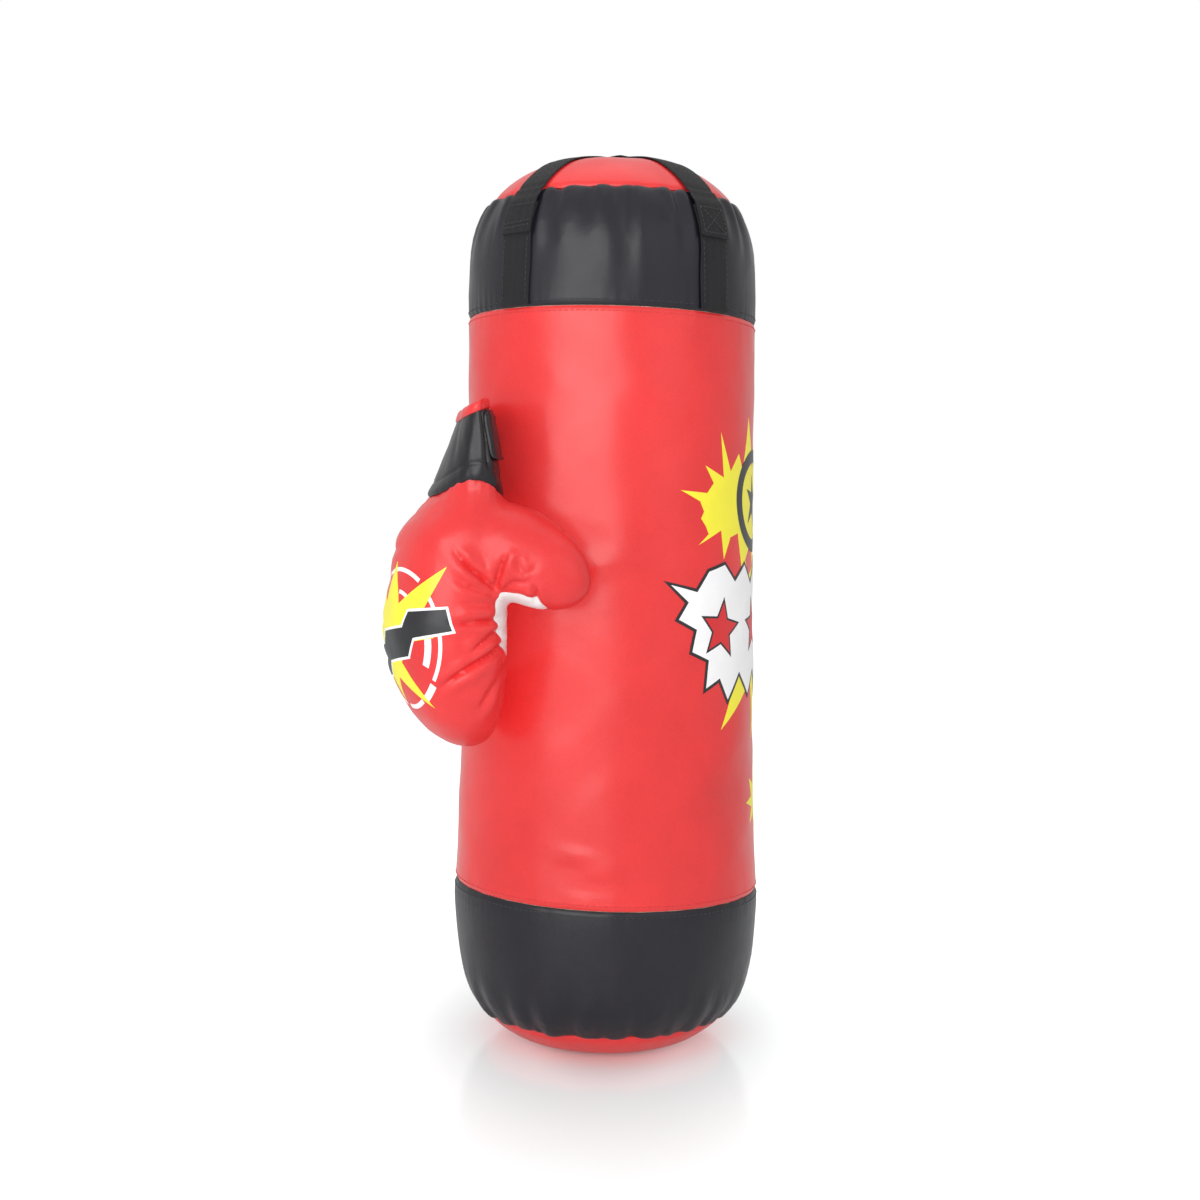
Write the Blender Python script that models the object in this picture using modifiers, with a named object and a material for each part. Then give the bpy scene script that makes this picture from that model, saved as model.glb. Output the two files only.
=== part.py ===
"""Child's stuffed punching bag standing on its lower end, with its boxing glove.

Frame: origin at the centre of the flat the bag stands on, +Z up, metres.
The front is -Y and the left is -X. The zip is at the back of the crown, and
the glove is at the front left, fingers down.
"""
from math import asin, copysign, cos, hypot, pi, radians, sin, sqrt

import bmesh
import bpy
from mathutils import Matrix, Vector

for old in list(bpy.data.objects):
    bpy.data.objects.remove(old, do_unlink=True)

# ---------------------------------------------------------------- shared sizes
GAP = 0.0003                  # clearance between neighbouring pieces
SKIN = 0.0012                 # leatherette skin
FOAM = 0.0040                 # foam liner behind the skin
SEGMENTS = 28                 # facets round the bag

# outer shape of the bag as (radius, height), bottom to top
STATIONS = [
    (0.0550, 0.0000),         # edge of the flat it stands on
    (0.0650, 0.0052),
    (0.0757, 0.0146),         # seam of the bottom disc
    (0.0868, 0.0305),
    (0.0927, 0.0560),
    (0.0952, 0.0845),
    (0.0948, 0.0955),         # seam of the lower band
    (0.0920, 0.1600),
    (0.0903, 0.2500),
    (0.0889, 0.3500),
    (0.0889, 0.4442),         # seam of the upper band
    (0.0890, 0.4620),
    (0.0872, 0.4860),
    (0.0824, 0.5030),
    (0.0755, 0.5153),         # seam of the top disc
    (0.0640, 0.5268),
    (0.0480, 0.5363),
    (0.0260, 0.5407),
    (0.0000, 0.5417),         # crown
]
BOTTOM_SEAM, LOWER_SEAM, UPPER_SEAM, TOP_SEAM, CROWN = 2, 6, 10, 14, 18

# ------------------------------------------------------- collections, materials
scene = bpy.context.scene
MODEL = bpy.data.collections.new("punching_bag")
CUTTERS = bpy.data.collections.new("cutters")
scene.collection.children.link(MODEL)
scene.collection.children.link(CUTTERS)


def material(name, colour, roughness, metallic=0.0):
    mat = bpy.data.materials.new(name)
    mat.use_nodes = True
    bsdf = mat.node_tree.nodes["Principled BSDF"]
    bsdf.inputs["Base Color"].default_value = (*colour, 1.0)
    bsdf.inputs["Roughness"].default_value = roughness
    bsdf.inputs["Metallic"].default_value = metallic
    return mat


RED = material("red_leatherette", colour=(0.80, 0.06, 0.06), roughness=0.38)
BLACK = material("black_leatherette", colour=(0.035, 0.034, 0.038), roughness=0.42)
WEB = material("black_webbing", colour=(0.018, 0.018, 0.020), roughness=0.80)
WHITE = material("white_leatherette", colour=(0.85, 0.83, 0.83), roughness=0.45)
FOAM_MAT = material("foam", colour=(0.80, 0.76, 0.62), roughness=0.95)
TEXTILE = material("textile_filling", colour=(0.45, 0.47, 0.50), roughness=1.0)
LINING = material("lining_cloth", colour=(0.10, 0.10, 0.11), roughness=0.95)
STEEL = material("steel", colour=(0.62, 0.62, 0.64), roughness=0.25, metallic=1.0)
TAPE = material("tape_cloth", colour=(0.02, 0.02, 0.02), roughness=0.9)
NYLON = material("nylon", colour=(0.03, 0.03, 0.03), roughness=0.5)


# ------------------------------------------------------------------- mesh tools
def add_object(name, data, mat=None, collection=MODEL):
    ob = bpy.data.objects.new(name, data)
    collection.objects.link(ob)
    if mat is not None:
        data.materials.clear()
        data.materials.append(mat)
    if collection is CUTTERS:
        ob.hide_render = True
        ob.display_type = "WIRE"
    return ob


def point_faces_out(bm):
    bmesh.ops.recalc_face_normals(bm, faces=bm.faces)
    if bm.calc_volume(signed=True) < 0:
        bmesh.ops.reverse_faces(bm, faces=bm.faces)


def mesh_from(name, bm):
    mesh = bpy.data.meshes.new(name)
    bm.to_mesh(mesh)
    bm.free()
    return mesh


def solid_from(name, bm, mat=None, collection=MODEL):
    point_faces_out(bm)
    return add_object(name, mesh_from(name, bm), mat, collection)


def bake(ob, merge=1e-6):
    """Turn an object into a plain mesh of its evaluated shape, faces pointing out."""
    bpy.context.view_layer.update()
    depsgraph = bpy.context.evaluated_depsgraph_get()
    mesh = bpy.data.meshes.new_from_object(ob.evaluated_get(depsgraph))
    mats = list(ob.data.materials)
    bm = bmesh.new()
    bm.from_mesh(mesh)
    bmesh.ops.remove_doubles(bm, verts=bm.verts, dist=merge)
    bmesh.ops.dissolve_degenerate(bm, edges=bm.edges, dist=1e-6)
    point_faces_out(bm)
    bm.to_mesh(mesh)
    bm.free()
    mesh.materials.clear()
    for mat in mats:
        mesh.materials.append(mat)
    if ob.type == "MESH":
        ob.modifiers.clear()
        ob.data = mesh
        return ob
    # a curve object can't hold a mesh, so a new object takes its name and place
    name, place, collection = ob.name, ob.matrix_world.copy(), ob.users_collection[0]
    bpy.data.objects.remove(ob, do_unlink=True)
    baked = add_object(name, mesh, collection=collection)
    baked.matrix_world = place
    return baked


def cut(ob, other, operation="DIFFERENCE"):
    mod = ob.modifiers.new(operation.lower(), "BOOLEAN")
    mod.operation = operation
    mod.solver = "EXACT"
    mod.object = other
    return bake(ob)


def keep_largest_body(ob):
    """Drop loose offcuts that a cut leaves behind."""
    bm = bmesh.new()
    bm.from_mesh(ob.data)
    left, bodies = set(bm.verts), []
    while left:
        stack, body = [left.pop()], []
        while stack:
            vert = stack.pop()
            body.append(vert)
            for edge in vert.link_edges:
                other = edge.other_vert(vert)
                if other in left:
                    left.remove(other)
                    stack.append(other)
        bodies.append(body)
    bodies.sort(key=len)
    for body in bodies[:-1]:
        bmesh.ops.delete(bm, geom=body, context="VERTS")
    bm.to_mesh(ob.data)
    bm.free()


def turned(name, profile, mat, closed=True):
    """A turned piece: a profile in the XZ plane with a Screw modifier."""
    edges = [(i, i + 1) for i in range(len(profile) - 1)]
    if closed:
        edges.append((len(profile) - 1, 0))
    mesh = bpy.data.meshes.new(name)
    mesh.from_pydata([(radius, 0.0, z) for radius, z in profile], edges, [])
    ob = add_object(name, mesh, mat)
    mod = ob.modifiers.new("turn", "SCREW")
    mod.axis = "Z"
    mod.angle = 2 * pi
    mod.steps = SEGMENTS
    mod.render_steps = SEGMENTS
    mod.use_merge_vertices = True
    mod.merge_threshold = 0.00001
    return bake(ob, merge=1e-5)


def wedge(name, section, start, end, steps, mat=None, collection=MODEL):
    """A short arc of a turned section, spun about Z between two angles."""
    bm = bmesh.new()
    verts = [bm.verts.new((radius * cos(start), radius * sin(start), z))
             for radius, z in section]
    face = bm.faces.new(verts)
    bmesh.ops.spin(bm, geom=[face] + list(face.edges) + verts, cent=(0, 0, 0),
                   axis=(0, 0, 1), dvec=(0, 0, 0), angle=end - start, steps=steps,
                   use_merge=False, use_duplicate=False)
    return solid_from(name, bm, mat, collection)


def loft(name, rings, mat=None, collection=MODEL):
    """A closed skin through unlike sections, flat at both ends."""
    bm = bmesh.new()
    loops = [[bm.verts.new(point) for point in ring] for ring in rings]
    count = len(rings[0])
    for lower, upper in zip(loops[:-1], loops[1:]):
        for i in range(count):
            j = (i + 1) % count
            bm.faces.new((lower[i], lower[j], upper[j], upper[i]))
    bm.faces.new(loops[0][::-1])
    bm.faces.new(loops[-1])
    return solid_from(name, bm, mat, collection)


def thick_sheet(name, bm, centre, thickness, mat, place=Matrix.Identity(4)):
    """A sheet turned to face away from a centre and thickened on that side."""
    bm.normal_update()
    facing = sum((face.calc_center_median() - centre).normalized().dot(face.normal)
                 for face in bm.faces)
    if facing < 0:
        bmesh.ops.reverse_faces(bm, faces=bm.faces)
    ob = add_object(name, mesh_from(name, bm), mat)
    ob.matrix_world = place
    mod = ob.modifiers.new("thickness", "SOLIDIFY")
    mod.thickness = thickness
    mod.offset = 1.0
    mod.use_even_offset = True
    return bake(ob)


def curve_solid(name, curve, loops, closed, mat, collection, place):
    for loop in loops:
        spline = curve.splines.new("POLY")
        spline.points.add(len(loop) - 1)
        for point, xyz in zip(spline.points, loop):
            point.co = (*xyz, 1.0)
        spline.use_cyclic_u = closed
    ob = add_object(name, curve, mat, collection)
    ob.matrix_world = place
    return bake(ob)


def wire(name, path, radius, resolution, closed, mat=None, collection=MODEL,
         place=Matrix.Identity(4)):
    """A round wire along a path; an open one gets flat ends."""
    curve = bpy.data.curves.new(name, "CURVE")
    curve.dimensions = "3D"
    curve.bevel_depth = radius
    curve.bevel_resolution = resolution
    curve.use_fill_caps = not closed
    return curve_solid(name, curve, [path], closed, mat, collection, place)


def plate(name, border, hole, half_thickness, mat, place):
    """A flat border with a hole in it, thickened to both sides."""
    curve = bpy.data.curves.new(name, "CURVE")
    curve.dimensions = "2D"
    curve.fill_mode = "BOTH"
    curve.extrude = half_thickness
    loops = [[(x, y, 0.0) for x, y in loop] for loop in (border, hole)]
    return curve_solid(name, curve, loops, True, mat, MODEL, place)


def smooth(value, low, high):
    """Ease from 0 at low to 1 at high."""
    t = min(1.0, max(0.0, (value - low) / (high - low)))
    return t * t * (3 - 2 * t)


# ------------------------------------------------------------ the bag's outline
SUB = 8                       # outline points per station
FINE_STEP = 4                 # outline points per facet on the discs and straps
SEAM_HOLD = 0.00025           # each panel stops this far from its seam


def fine_outline():
    """Catmull-Rom curve through the stations, with a guide point beyond each end."""
    first = (STATIONS[0][0] - 0.006, STATIONS[0][1] - 0.002)
    last = (-STATIONS[-2][0], STATIONS[-2][1])
    guides = [first] + STATIONS + [last]
    points = []
    for knots in zip(guides, guides[1:], guides[2:], guides[3:]):
        for k in range(SUB):
            t = k / SUB
            points.append(tuple(
                0.5 * (2 * start + (end - before) * t
                       + (2 * before - 5 * start + 4 * end - after) * t * t
                       + (3 * start - before - 3 * end + after) * t ** 3)
                for before, start, end, after in zip(*knots)))
    points.append(STATIONS[-1])
    return points


OUTLINE = fine_outline()
LAST = len(OUTLINE) - 1


def normal_at(i):
    """Outward normal (radial, vertical) at an outline point."""
    if i >= LAST:
        return (0.0, 1.0)
    below, above = OUTLINE[max(0, i - 1)], OUTLINE[i + 1]
    run, rise = above[0] - below[0], above[1] - below[1]
    length = hypot(run, rise)
    return (rise / length, -run / length)


def inset_point(i, depth, slip=0.0):
    """Outline point i, moved in by depth and up the curve by slip."""
    (radius, z), (out_r, out_z) = OUTLINE[i], normal_at(i)
    return (max(0.0, radius - depth * out_r - slip * out_z), z - depth * out_z + slip * out_r)


def band(first, last, depth, step):
    """Outline points between two stations, bottom to top, held back from the seams."""
    indices = range(first * SUB, last * SUB + 1, step)
    points = []
    for i in indices:
        slip = 0.0
        if i == indices[0]:
            slip = SEAM_HOLD
        elif i == indices[-1] and last != CROWN:
            slip = -SEAM_HOLD
        points.append(inset_point(i, depth, slip))
    return points


# ------------------------------------------------------- skin, liner and filling
FLAT_RADIUS = STATIONS[0][0]
FILL_DEPTH = SKIN + FOAM + 2 * GAP
FILL_FLOOR = SKIN + GAP + 0.001   # underside of the filling
FILL_EDGE = 0.002                 # the filling's flat is this much smaller in radius


def panel(name, first, last, mat, step=SUB, closed=True):
    outer, inner = band(first, last, 0.0, step), band(first, last, SKIN, step)
    return turned(name, outer[::-1] + inner, mat, closed)


def bottom_disc():
    outer = band(0, BOTTOM_SEAM, 0.0, FINE_STEP)[1:]
    inner = band(0, BOTTOM_SEAM, SKIN, FINE_STEP)[1:]
    floor_inside = [(0.0, SKIN), (FLAT_RADIUS - 0.0005, SKIN)]
    floor_outside = [(FLAT_RADIUS, 0.0), (0.0, 0.0)]
    turned("bottom_disc", floor_inside + inner + outer[::-1] + floor_outside, RED,
           closed=False)


def foam_liner():
    indices = [k * SUB for k in range(BOTTOM_SEAM + 1, TOP_SEAM)]
    outer = [inset_point(i, SKIN + GAP) for i in indices]
    inner = [inset_point(i, SKIN + GAP + FOAM) for i in indices]
    turned("foam_liner", outer[::-1] + inner, FOAM_MAT)


def textile_filling():
    side = [inset_point(i, FILL_DEPTH) for i in range(BOTTOM_SEAM * SUB, LAST + 1, SUB)]
    underside = [(FLAT_RADIUS - FILL_EDGE, FILL_FLOOR), (0.0, FILL_FLOOR)]
    turned("textile_filling", side[::-1] + underside, TEXTILE, closed=False)


panel("main_panel", LOWER_SEAM, UPPER_SEAM, RED)
panel("upper_band", UPPER_SEAM, TOP_SEAM, BLACK)
panel("lower_band", BOTTOM_SEAM, LOWER_SEAM, BLACK)
top_disc = panel("top_disc", TOP_SEAM, CROWN, RED, step=FINE_STEP, closed=False)
bottom_disc()
foam_liner()
textile_filling()

# --------------------------------------------------------------- webbing harness
WEBBING = 0.0013              # strap thickness
STRAP_HALF = 0.0110           # half of the 22 mm strap width
STRAP_FACETS = 4              # facets across a strap
LAYER = WEBBING + GAP         # lift of a strap that lies over another
UNDER_AZIMUTH = radians(-39.5)    # front end of the lower strap, from -Y towards +X
OVER_AZIMUTH = radians(42.0)      # front end of the upper strap
ANCHOR_LOW_Z = STATIONS[UPPER_SEAM][1] + 0.0016
ANCHOR_TOP_Z = 0.5050         # upper end of each anchor strap
HANG_START_Z = 0.4870         # lower end of each harness strap
STEP_DOWN = (0.0012, 0.0080)  # heights past an anchor between which the strap comes down
CROSSING = (0.0150, 0.0250)   # radii between which the upper strap comes down
CAP_BLEND = (0.025, 0.045)    # radii between which the strap edges start to follow the side
CAP_RADIUS = CAP_BLEND[1]


def nearest_by_height(z):
    return min(range(UPPER_SEAM * SUB, LAST), key=lambda i: abs(OUTLINE[i][1] - z))


def crown_at(radius):
    """Height and outward normal (radial, vertical) of the crown at a radius."""
    for i in range(LAST, TOP_SEAM * SUB, -1):
        (inner_r, inner_z), (outer_r, outer_z) = OUTLINE[i], OUTLINE[i - 1]
        if inner_r <= radius <= outer_r:
            break
    t = (radius - inner_r) / (outer_r - inner_r)
    inner_n, outer_n = normal_at(i), normal_at(i - 1)
    out_r = inner_n[0] + t * (outer_n[0] - inner_n[0])
    out_z = inner_n[1] + t * (outer_n[1] - inner_n[1])
    length = hypot(out_r, out_z)
    return inner_z + t * (outer_z - inner_z), out_r / length, out_z / length


def strap_point(i, side, lateral, lift, azimuth):
    """A point over the bag at outline index i, on the front (+1) or back (-1) half
    of a strap, lateral from its centre line."""
    (radius, z), (out_r, out_z) = OUTLINE[i], normal_at(i)
    mix = smooth(radius, *CAP_BLEND)
    along = mix * sqrt(max(0.0, radius * radius - lateral * lateral)) + (1 - mix) * radius
    reach = hypot(along, lateral)
    if radius < CAP_RADIUS:
        z, out_r, out_z = crown_at(reach)
    front_x, front_y = sin(azimuth), -cos(azimuth)
    x = side * along * front_x - lateral * front_y
    y = side * along * front_y + lateral * front_x
    if reach > 1e-9:
        x, y = x * (1 + lift * out_r / reach), y * (1 + lift * out_r / reach)
    return Vector((x, y, z + lift * out_z))


def ribbon(name, path, azimuth):
    """Webbing along a path of (outline index, side, lift)."""
    bm = bmesh.new()
    bmesh.ops.create_grid(bm, x_segments=len(path) - 1, y_segments=STRAP_FACETS, size=1.0)
    for vert in bm.verts:
        i, side, lift = path[round((vert.co.x + 1) / 2 * (len(path) - 1))]
        vert.co = strap_point(i, side, vert.co.y * STRAP_HALF, lift, azimuth)
    thick_sheet(name, bm, Vector((0, 0, 0.30)), WEBBING, WEB)


def anchor(name, azimuth):
    low, high = nearest_by_height(ANCHOR_LOW_Z), nearest_by_height(ANCHOR_TOP_Z)
    ribbon(name, [(i, 1, GAP) for i in range(low, high + 1, FINE_STEP)], azimuth)


def harness(name, azimuth, over):
    """A strap from one anchor over the crown to the opposite one."""
    indices = list(range(nearest_by_height(HANG_START_Z), LAST, FINE_STEP))
    anchor_end = OUTLINE[nearest_by_height(ANCHOR_TOP_Z)][1]

    def lift(i):
        radius, z = OUTLINE[i]
        value = GAP
        value += LAYER * (1 - smooth(z, anchor_end + STEP_DOWN[0], anchor_end + STEP_DOWN[1]))
        if over:
            value += LAYER * (1 - smooth(radius, *CROSSING))
        return value

    path = [(i, 1, lift(i)) for i in indices + [LAST]]
    path += [(i, -1, lift(i)) for i in reversed(indices)]
    ribbon(name, path, azimuth)


anchor("anchor_strap_front_left", UNDER_AZIMUTH)
anchor("anchor_strap_back_right", UNDER_AZIMUTH + pi)
anchor("anchor_strap_front_right", OVER_AZIMUTH)
anchor("anchor_strap_back_left", OVER_AZIMUTH + pi)
harness("harness_strap_lower", UNDER_AZIMUTH, over=False)
harness("harness_strap_upper", OVER_AZIMUTH, over=True)

# -------------------------------------------------------- hanging ring and its tab
RING_Y, RING_Z = 0.0225, 0.5468   # the ring's straight bar
RING_WIRE = 0.0015                # radius of the wire
RING_DROOP = radians(8.0)         # the bow lies back, a little below level
RING_HALF, RING_REACH = 0.0120, 0.0180
RING_SHOULDER = 0.0045            # from the straight bar to the start of the bow
TAB_HALF = 0.0095
TAB_FRONT_Y = 0.0060              # front edge of the tab's flat part
TAB_LOW, TAB_HIGH = 0.5453, 0.5466    # faces of the tab's flat part
EYE_IN = RING_WIRE + GAP
EYE_OUT = EYE_IN + 0.0012


def eye_point(radius, angle):
    return (RING_Y + radius * cos(angle), RING_Z + radius * sin(angle))


def ring_tab():
    """A flat tab whose back end wraps round the ring's bar; section in the YZ plane."""
    start = pi - asin((TAB_HIGH - RING_Z) / EYE_OUT)
    end = -pi + asin((RING_Z - TAB_LOW) / EYE_OUT)
    arc_steps = 18
    border = [(TAB_FRONT_Y, TAB_LOW), (TAB_FRONT_Y, TAB_HIGH)]
    border += [eye_point(EYE_OUT, start + (end - start) * k / arc_steps)
               for k in range(arc_steps + 1)]
    hole = [eye_point(EYE_IN, k * pi / 8) for k in range(16)]
    upright = Matrix(((0, 0, 1, 0), (1, 0, 0, 0), (0, 1, 0, 0), (0, 0, 0, 1)))
    plate("ring_tab", border, hole, TAB_HALF, WEB, upright)


def hanging_ring():
    """The D-ring: a closed wire, its straight bar on the hinge axis."""
    path = [(-RING_HALF + 2 * RING_HALF * k / 4, 0.0, 0.0) for k in range(5)]
    path += [(RING_HALF * cos(angle),
              RING_SHOULDER + (RING_REACH - RING_SHOULDER) * sin(angle), 0.0)
             for angle in [pi * k / 12 for k in range(13)]]
    place = Matrix.Translation((0, RING_Y, RING_Z)) @ Matrix.Rotation(-RING_DROOP, 4, "X")
    wire("hanging_ring", path, RING_WIRE, resolution=2, closed=True, mat=STEEL, place=place)


ring_tab()
hanging_ring()

# ------------------------------------------------------------------- filling zip
# Depths are measured into the bag from the crown's surface; negative is above it.
BACK = pi / 2                 # polar angle of the bag's back (+Y)
ZIP_R = 0.0640                # radius of the zip's centre line on the top disc
ZIP_HALF_DEG = 26.0           # half length of the coils
SLOT_RADII = (0.0612, 0.0668)
SLOT_END_DEG = 2.4            # the slot runs on past the coils
TAPE_HALF_DEG = 30
TAPE_DEPTH = SKIN + 3 * GAP   # clear of the disc, whose facets sit inside its circle
TAPE_THICK = 0.0007
COIL_R = 0.0006
COIL_OFFSET = 0.0008          # each coil from the zip's centre line
COIL_STEPS = 14
STOP_HALF = 0.0016
STOP_NEAR_DEG, STOP_FAR_DEG = ZIP_HALF_DEG + 0.35, ZIP_HALF_DEG + 1.9
SLIDER_ANGLE = BACK - radians(22.0)   # slider at the closed end
SLIDER_HALF, SLIDER_HALF_DEG = 0.0024, 3.4
ARCH_HALF, ARCH_FOOT, ARCH_RISE, ARCH_WIRE = 0.0019, 0.0010, 0.0026, 0.00045
PULL_HINGE = 0.0022           # hinge height over the disc
PULL_LEAN = radians(6)        # the free end is raised
PULL_LEN, PULL_HALF, PULL_THICK = 0.0135, 0.0021, 0.0008
PULL_BAR = 0.0009             # width of the end bar under the arch
PULL_HOLE_END, PULL_HOLE_HALF = 0.0042, 0.0010


def crown_point(radius, depth):
    z, out_r, out_z = crown_at(radius)
    return (radius - depth * out_r, z - depth * out_z)


def crown_strip(inner, outer, top, bottom, facets=3):
    """Section following the crown between two radii and two depths."""
    radii = [inner + (outer - inner) * k / facets for k in range(facets + 1)]
    return ([crown_point(radius, top) for radius in radii]
            + [crown_point(radius, bottom) for radius in reversed(radii)])


def cut_zip_slot():
    half = radians(ZIP_HALF_DEG + SLOT_END_DEG)
    slot = wedge("cut_slot", crown_strip(*SLOT_RADII, -0.004, 0.004), BACK - half,
                 BACK + half, steps=12, collection=CUTTERS)
    cut(top_disc, slot)


def zip_tape(name, inner, outer):
    half = radians(TAPE_HALF_DEG)
    wedge(name, crown_strip(inner, outer, TAPE_DEPTH, TAPE_DEPTH + TAPE_THICK), BACK - half,
          BACK + half, steps=10, mat=TAPE)


def zip_coil(name, centre_radius):
    radius, z = crown_point(centre_radius, COIL_R)
    half = radians(ZIP_HALF_DEG)
    angles = [BACK - half + 2 * half * k / COIL_STEPS for k in range(COIL_STEPS + 1)]
    path = [(radius * cos(angle), radius * sin(angle), z) for angle in angles]
    wire(name, path, COIL_R, resolution=1, closed=False, mat=NYLON)


def zip_stop(name, start, end):
    section = crown_strip(ZIP_R - STOP_HALF, ZIP_R + STOP_HALF, -0.0002, 0.0012, facets=2)
    wedge(name, section, start, end, steps=2, mat=STEEL)


def slider_frame():
    """Where the slider sits: its point on the crown, the zip's run and the normal."""
    z, out_r, out_z = crown_at(ZIP_R)
    radial = Vector((cos(SLIDER_ANGLE), sin(SLIDER_ANGLE), 0))
    tangent = Vector((-sin(SLIDER_ANGLE), cos(SLIDER_ANGLE), 0))   # towards the open end
    normal = (radial * out_r + Vector((0, 0, out_z))).normalized()
    return radial * ZIP_R + Vector((0, 0, z)), tangent, normal


def zip_slider():
    """A plate riding over the coils, with a wire arch for the pull."""
    centre, tangent, normal = slider_frame()
    section = crown_strip(ZIP_R - SLIDER_HALF, ZIP_R + SLIDER_HALF, -0.0014, -0.0003, facets=2)
    slider = wedge("zip_slider", section, SLIDER_ANGLE - radians(SLIDER_HALF_DEG),
                   SLIDER_ANGLE + radians(SLIDER_HALF_DEG), steps=4, mat=STEEL)
    path = [centre + tangent * (ARCH_HALF * cos(angle))
            + normal * (ARCH_FOOT + ARCH_RISE * sin(angle))
            for angle in [pi * k / 8 for k in range(9)]]
    arch = wire("cut_arch", path, ARCH_WIRE, resolution=1, closed=False, collection=CUTTERS)
    cut(slider, arch, "UNION")


def zip_pull_tab():
    """A flat plate with a slot, its end bar under the slider's arch."""
    centre, tangent, normal = slider_frame()
    tip_x = PULL_LEN - PULL_HALF
    border = [(-PULL_BAR / 2, -PULL_HALF), (tip_x, -PULL_HALF)]
    border += [(tip_x + PULL_HALF * sin(angle), -PULL_HALF * cos(angle))
               for angle in [pi * k / 8 for k in range(1, 8)]]
    border += [(tip_x, PULL_HALF), (-PULL_BAR / 2, PULL_HALF)]
    hole = [(PULL_BAR / 2, -PULL_HOLE_HALF), (PULL_HOLE_END, -PULL_HOLE_HALF),
            (PULL_HOLE_END, PULL_HOLE_HALF), (PULL_BAR / 2, PULL_HOLE_HALF)]
    across = normal.cross(tangent).normalized()
    basis = Matrix((tangent, across, normal)).transposed().to_4x4()
    place = (Matrix.Translation(centre + normal * PULL_HINGE) @ basis
             @ Matrix.Rotation(-PULL_LEAN, 4, "Y"))
    plate("zip_pull_tab", border, hole, PULL_THICK / 2, STEEL, place)


cut_zip_slot()
zip_tape("zip_tape_inner", 0.0540, 0.0637)
zip_tape("zip_tape_outer", 0.0642, 0.0725)
zip_coil("zip_coil_inner", ZIP_R - COIL_OFFSET)
zip_coil("zip_coil_outer", ZIP_R + COIL_OFFSET)
zip_stop("zip_stop_left", BACK + radians(STOP_NEAR_DEG), BACK + radians(STOP_FAR_DEG))
zip_stop("zip_stop_right", BACK - radians(STOP_FAR_DEG), BACK - radians(STOP_NEAR_DEG))
zip_slider()
zip_pull_tab()

# ------------------------------------------------------------- the glove: hand part
# In the glove's own frame +X is the palm side, +Y the width and +Z runs to the wrist.
GLOVE_CENTRE = (-0.0947, -0.0850, 0.2522)   # middle of the fist
GLOVE_TURN = radians(22.0)                  # palm turned towards the bag
GLOVE_PLACE = Matrix.Translation(GLOVE_CENTRE) @ Matrix.Rotation(GLOVE_TURN, 4, "Z")
FIST_LOW, FIST_MID, FIST_TOP = -0.0629, 0.0109, 0.0857
FIST_THICK, FIST_WIDE = 0.0335, 0.0460      # half sizes at the knuckles
FIST_POWER = 2.2                            # squareness of the fist's ovals
TIP_SHIFT = 0.014                           # finger end shifted to the palm side
TAPER_THICK, TAPER_WIDE = 0.0085, 0.006     # slow narrowing ahead of the wrist
WRIST_THICK, WRIST_WIDE = 0.0160, 0.0360    # half sizes at the wrist
RING_POINTS = 18                            # points round each section
FIST_STEPS = 6                              # sections below and above the knuckles

# ellipsoids in world space; sizes are half length, half width, half height
THUMB_CENTRE = Vector((-0.0371, -0.1054, 0.2962))
THUMB_AXIS = Vector((0.75, -0.30, -0.59)).normalized()
THUMB_SIZE = (0.0360, 0.0205, 0.0235)
ROOT_CENTRE = GLOVE_PLACE @ Vector((0.0285, -0.0300, 0.0515))
ROOT_AXIS = Vector((0.42, -0.16, 0.89)).normalized()
ROOT_SIZE = (0.0285, 0.0215, 0.0265)
STALL_START = GLOVE_PLACE @ Vector((0.008, -0.010, 0.055))   # where the thumb's hollow begins
STALL_CENTRE = (THUMB_CENTRE + STALL_START) / 2
STALL_AXIS = (THUMB_CENTRE - STALL_START).normalized()
STALL_SIZE = (0.040, 0.0095, 0.0105)

# padding between the mitt's outside and the hollow for the hand
PAD_SIDE, PAD_TIP, PAD_WRIST = 0.0150, 0.030, 0.0050
PAD_INSET = SKIN + GAP
PAD_TOP = FIST_TOP - 0.0005
LINING_GAP, LINING_THICK = 3 * GAP, 0.0010

# oval window in the palm, in the glove's frame
WINDOW_CENTRE = (0.0330, 0.0080, 0.0240)
WINDOW_DEPTH, WINDOW_HALF_Y, WINDOW_HALF_Z = 0.0560, 0.0240, 0.0390

glove_frame = add_object("glove_frame", None)
glove_frame.location = GLOVE_CENTRE
glove_frame.rotation_euler = (0, 0, GLOVE_TURN)


def oval_point(angle, shift, z, half_x, half_y, power, turn=0.0, tilt=0.0):
    """A point of a superellipse, turned about Z and tilted along X."""
    cosine, sine = cos(angle), sin(angle)
    flat_x = half_x * copysign(abs(cosine) ** (2 / power), cosine)
    flat_y = half_y * copysign(abs(sine) ** (2 / power), sine)
    x = flat_x * cos(turn) - flat_y * sin(turn)
    y = flat_x * sin(turn) + flat_y * cos(turn)
    return (shift + x, y, z + tilt * x)


def ring_angles():
    return [2 * pi * k / RING_POINTS for k in range(RING_POINTS)]


def fist_oval(shift, z, half_x, half_y):
    return [oval_point(angle, shift, z, half_x, half_y, FIST_POWER) for angle in ring_angles()]


def hand_section(q):
    """Shift, half thickness and half width, q from the knuckles 0 to the wrist 1."""
    thick = FIST_THICK - TAPER_THICK * q - (FIST_THICK - TAPER_THICK - WRIST_THICK) * q ** 6
    wide = FIST_WIDE - TAPER_WIDE * q ** 2 - (FIST_WIDE - TAPER_WIDE - WRIST_WIDE) * q ** 6
    return 0.0075 * q + 0.0045 * q ** 6, thick, wide


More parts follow.
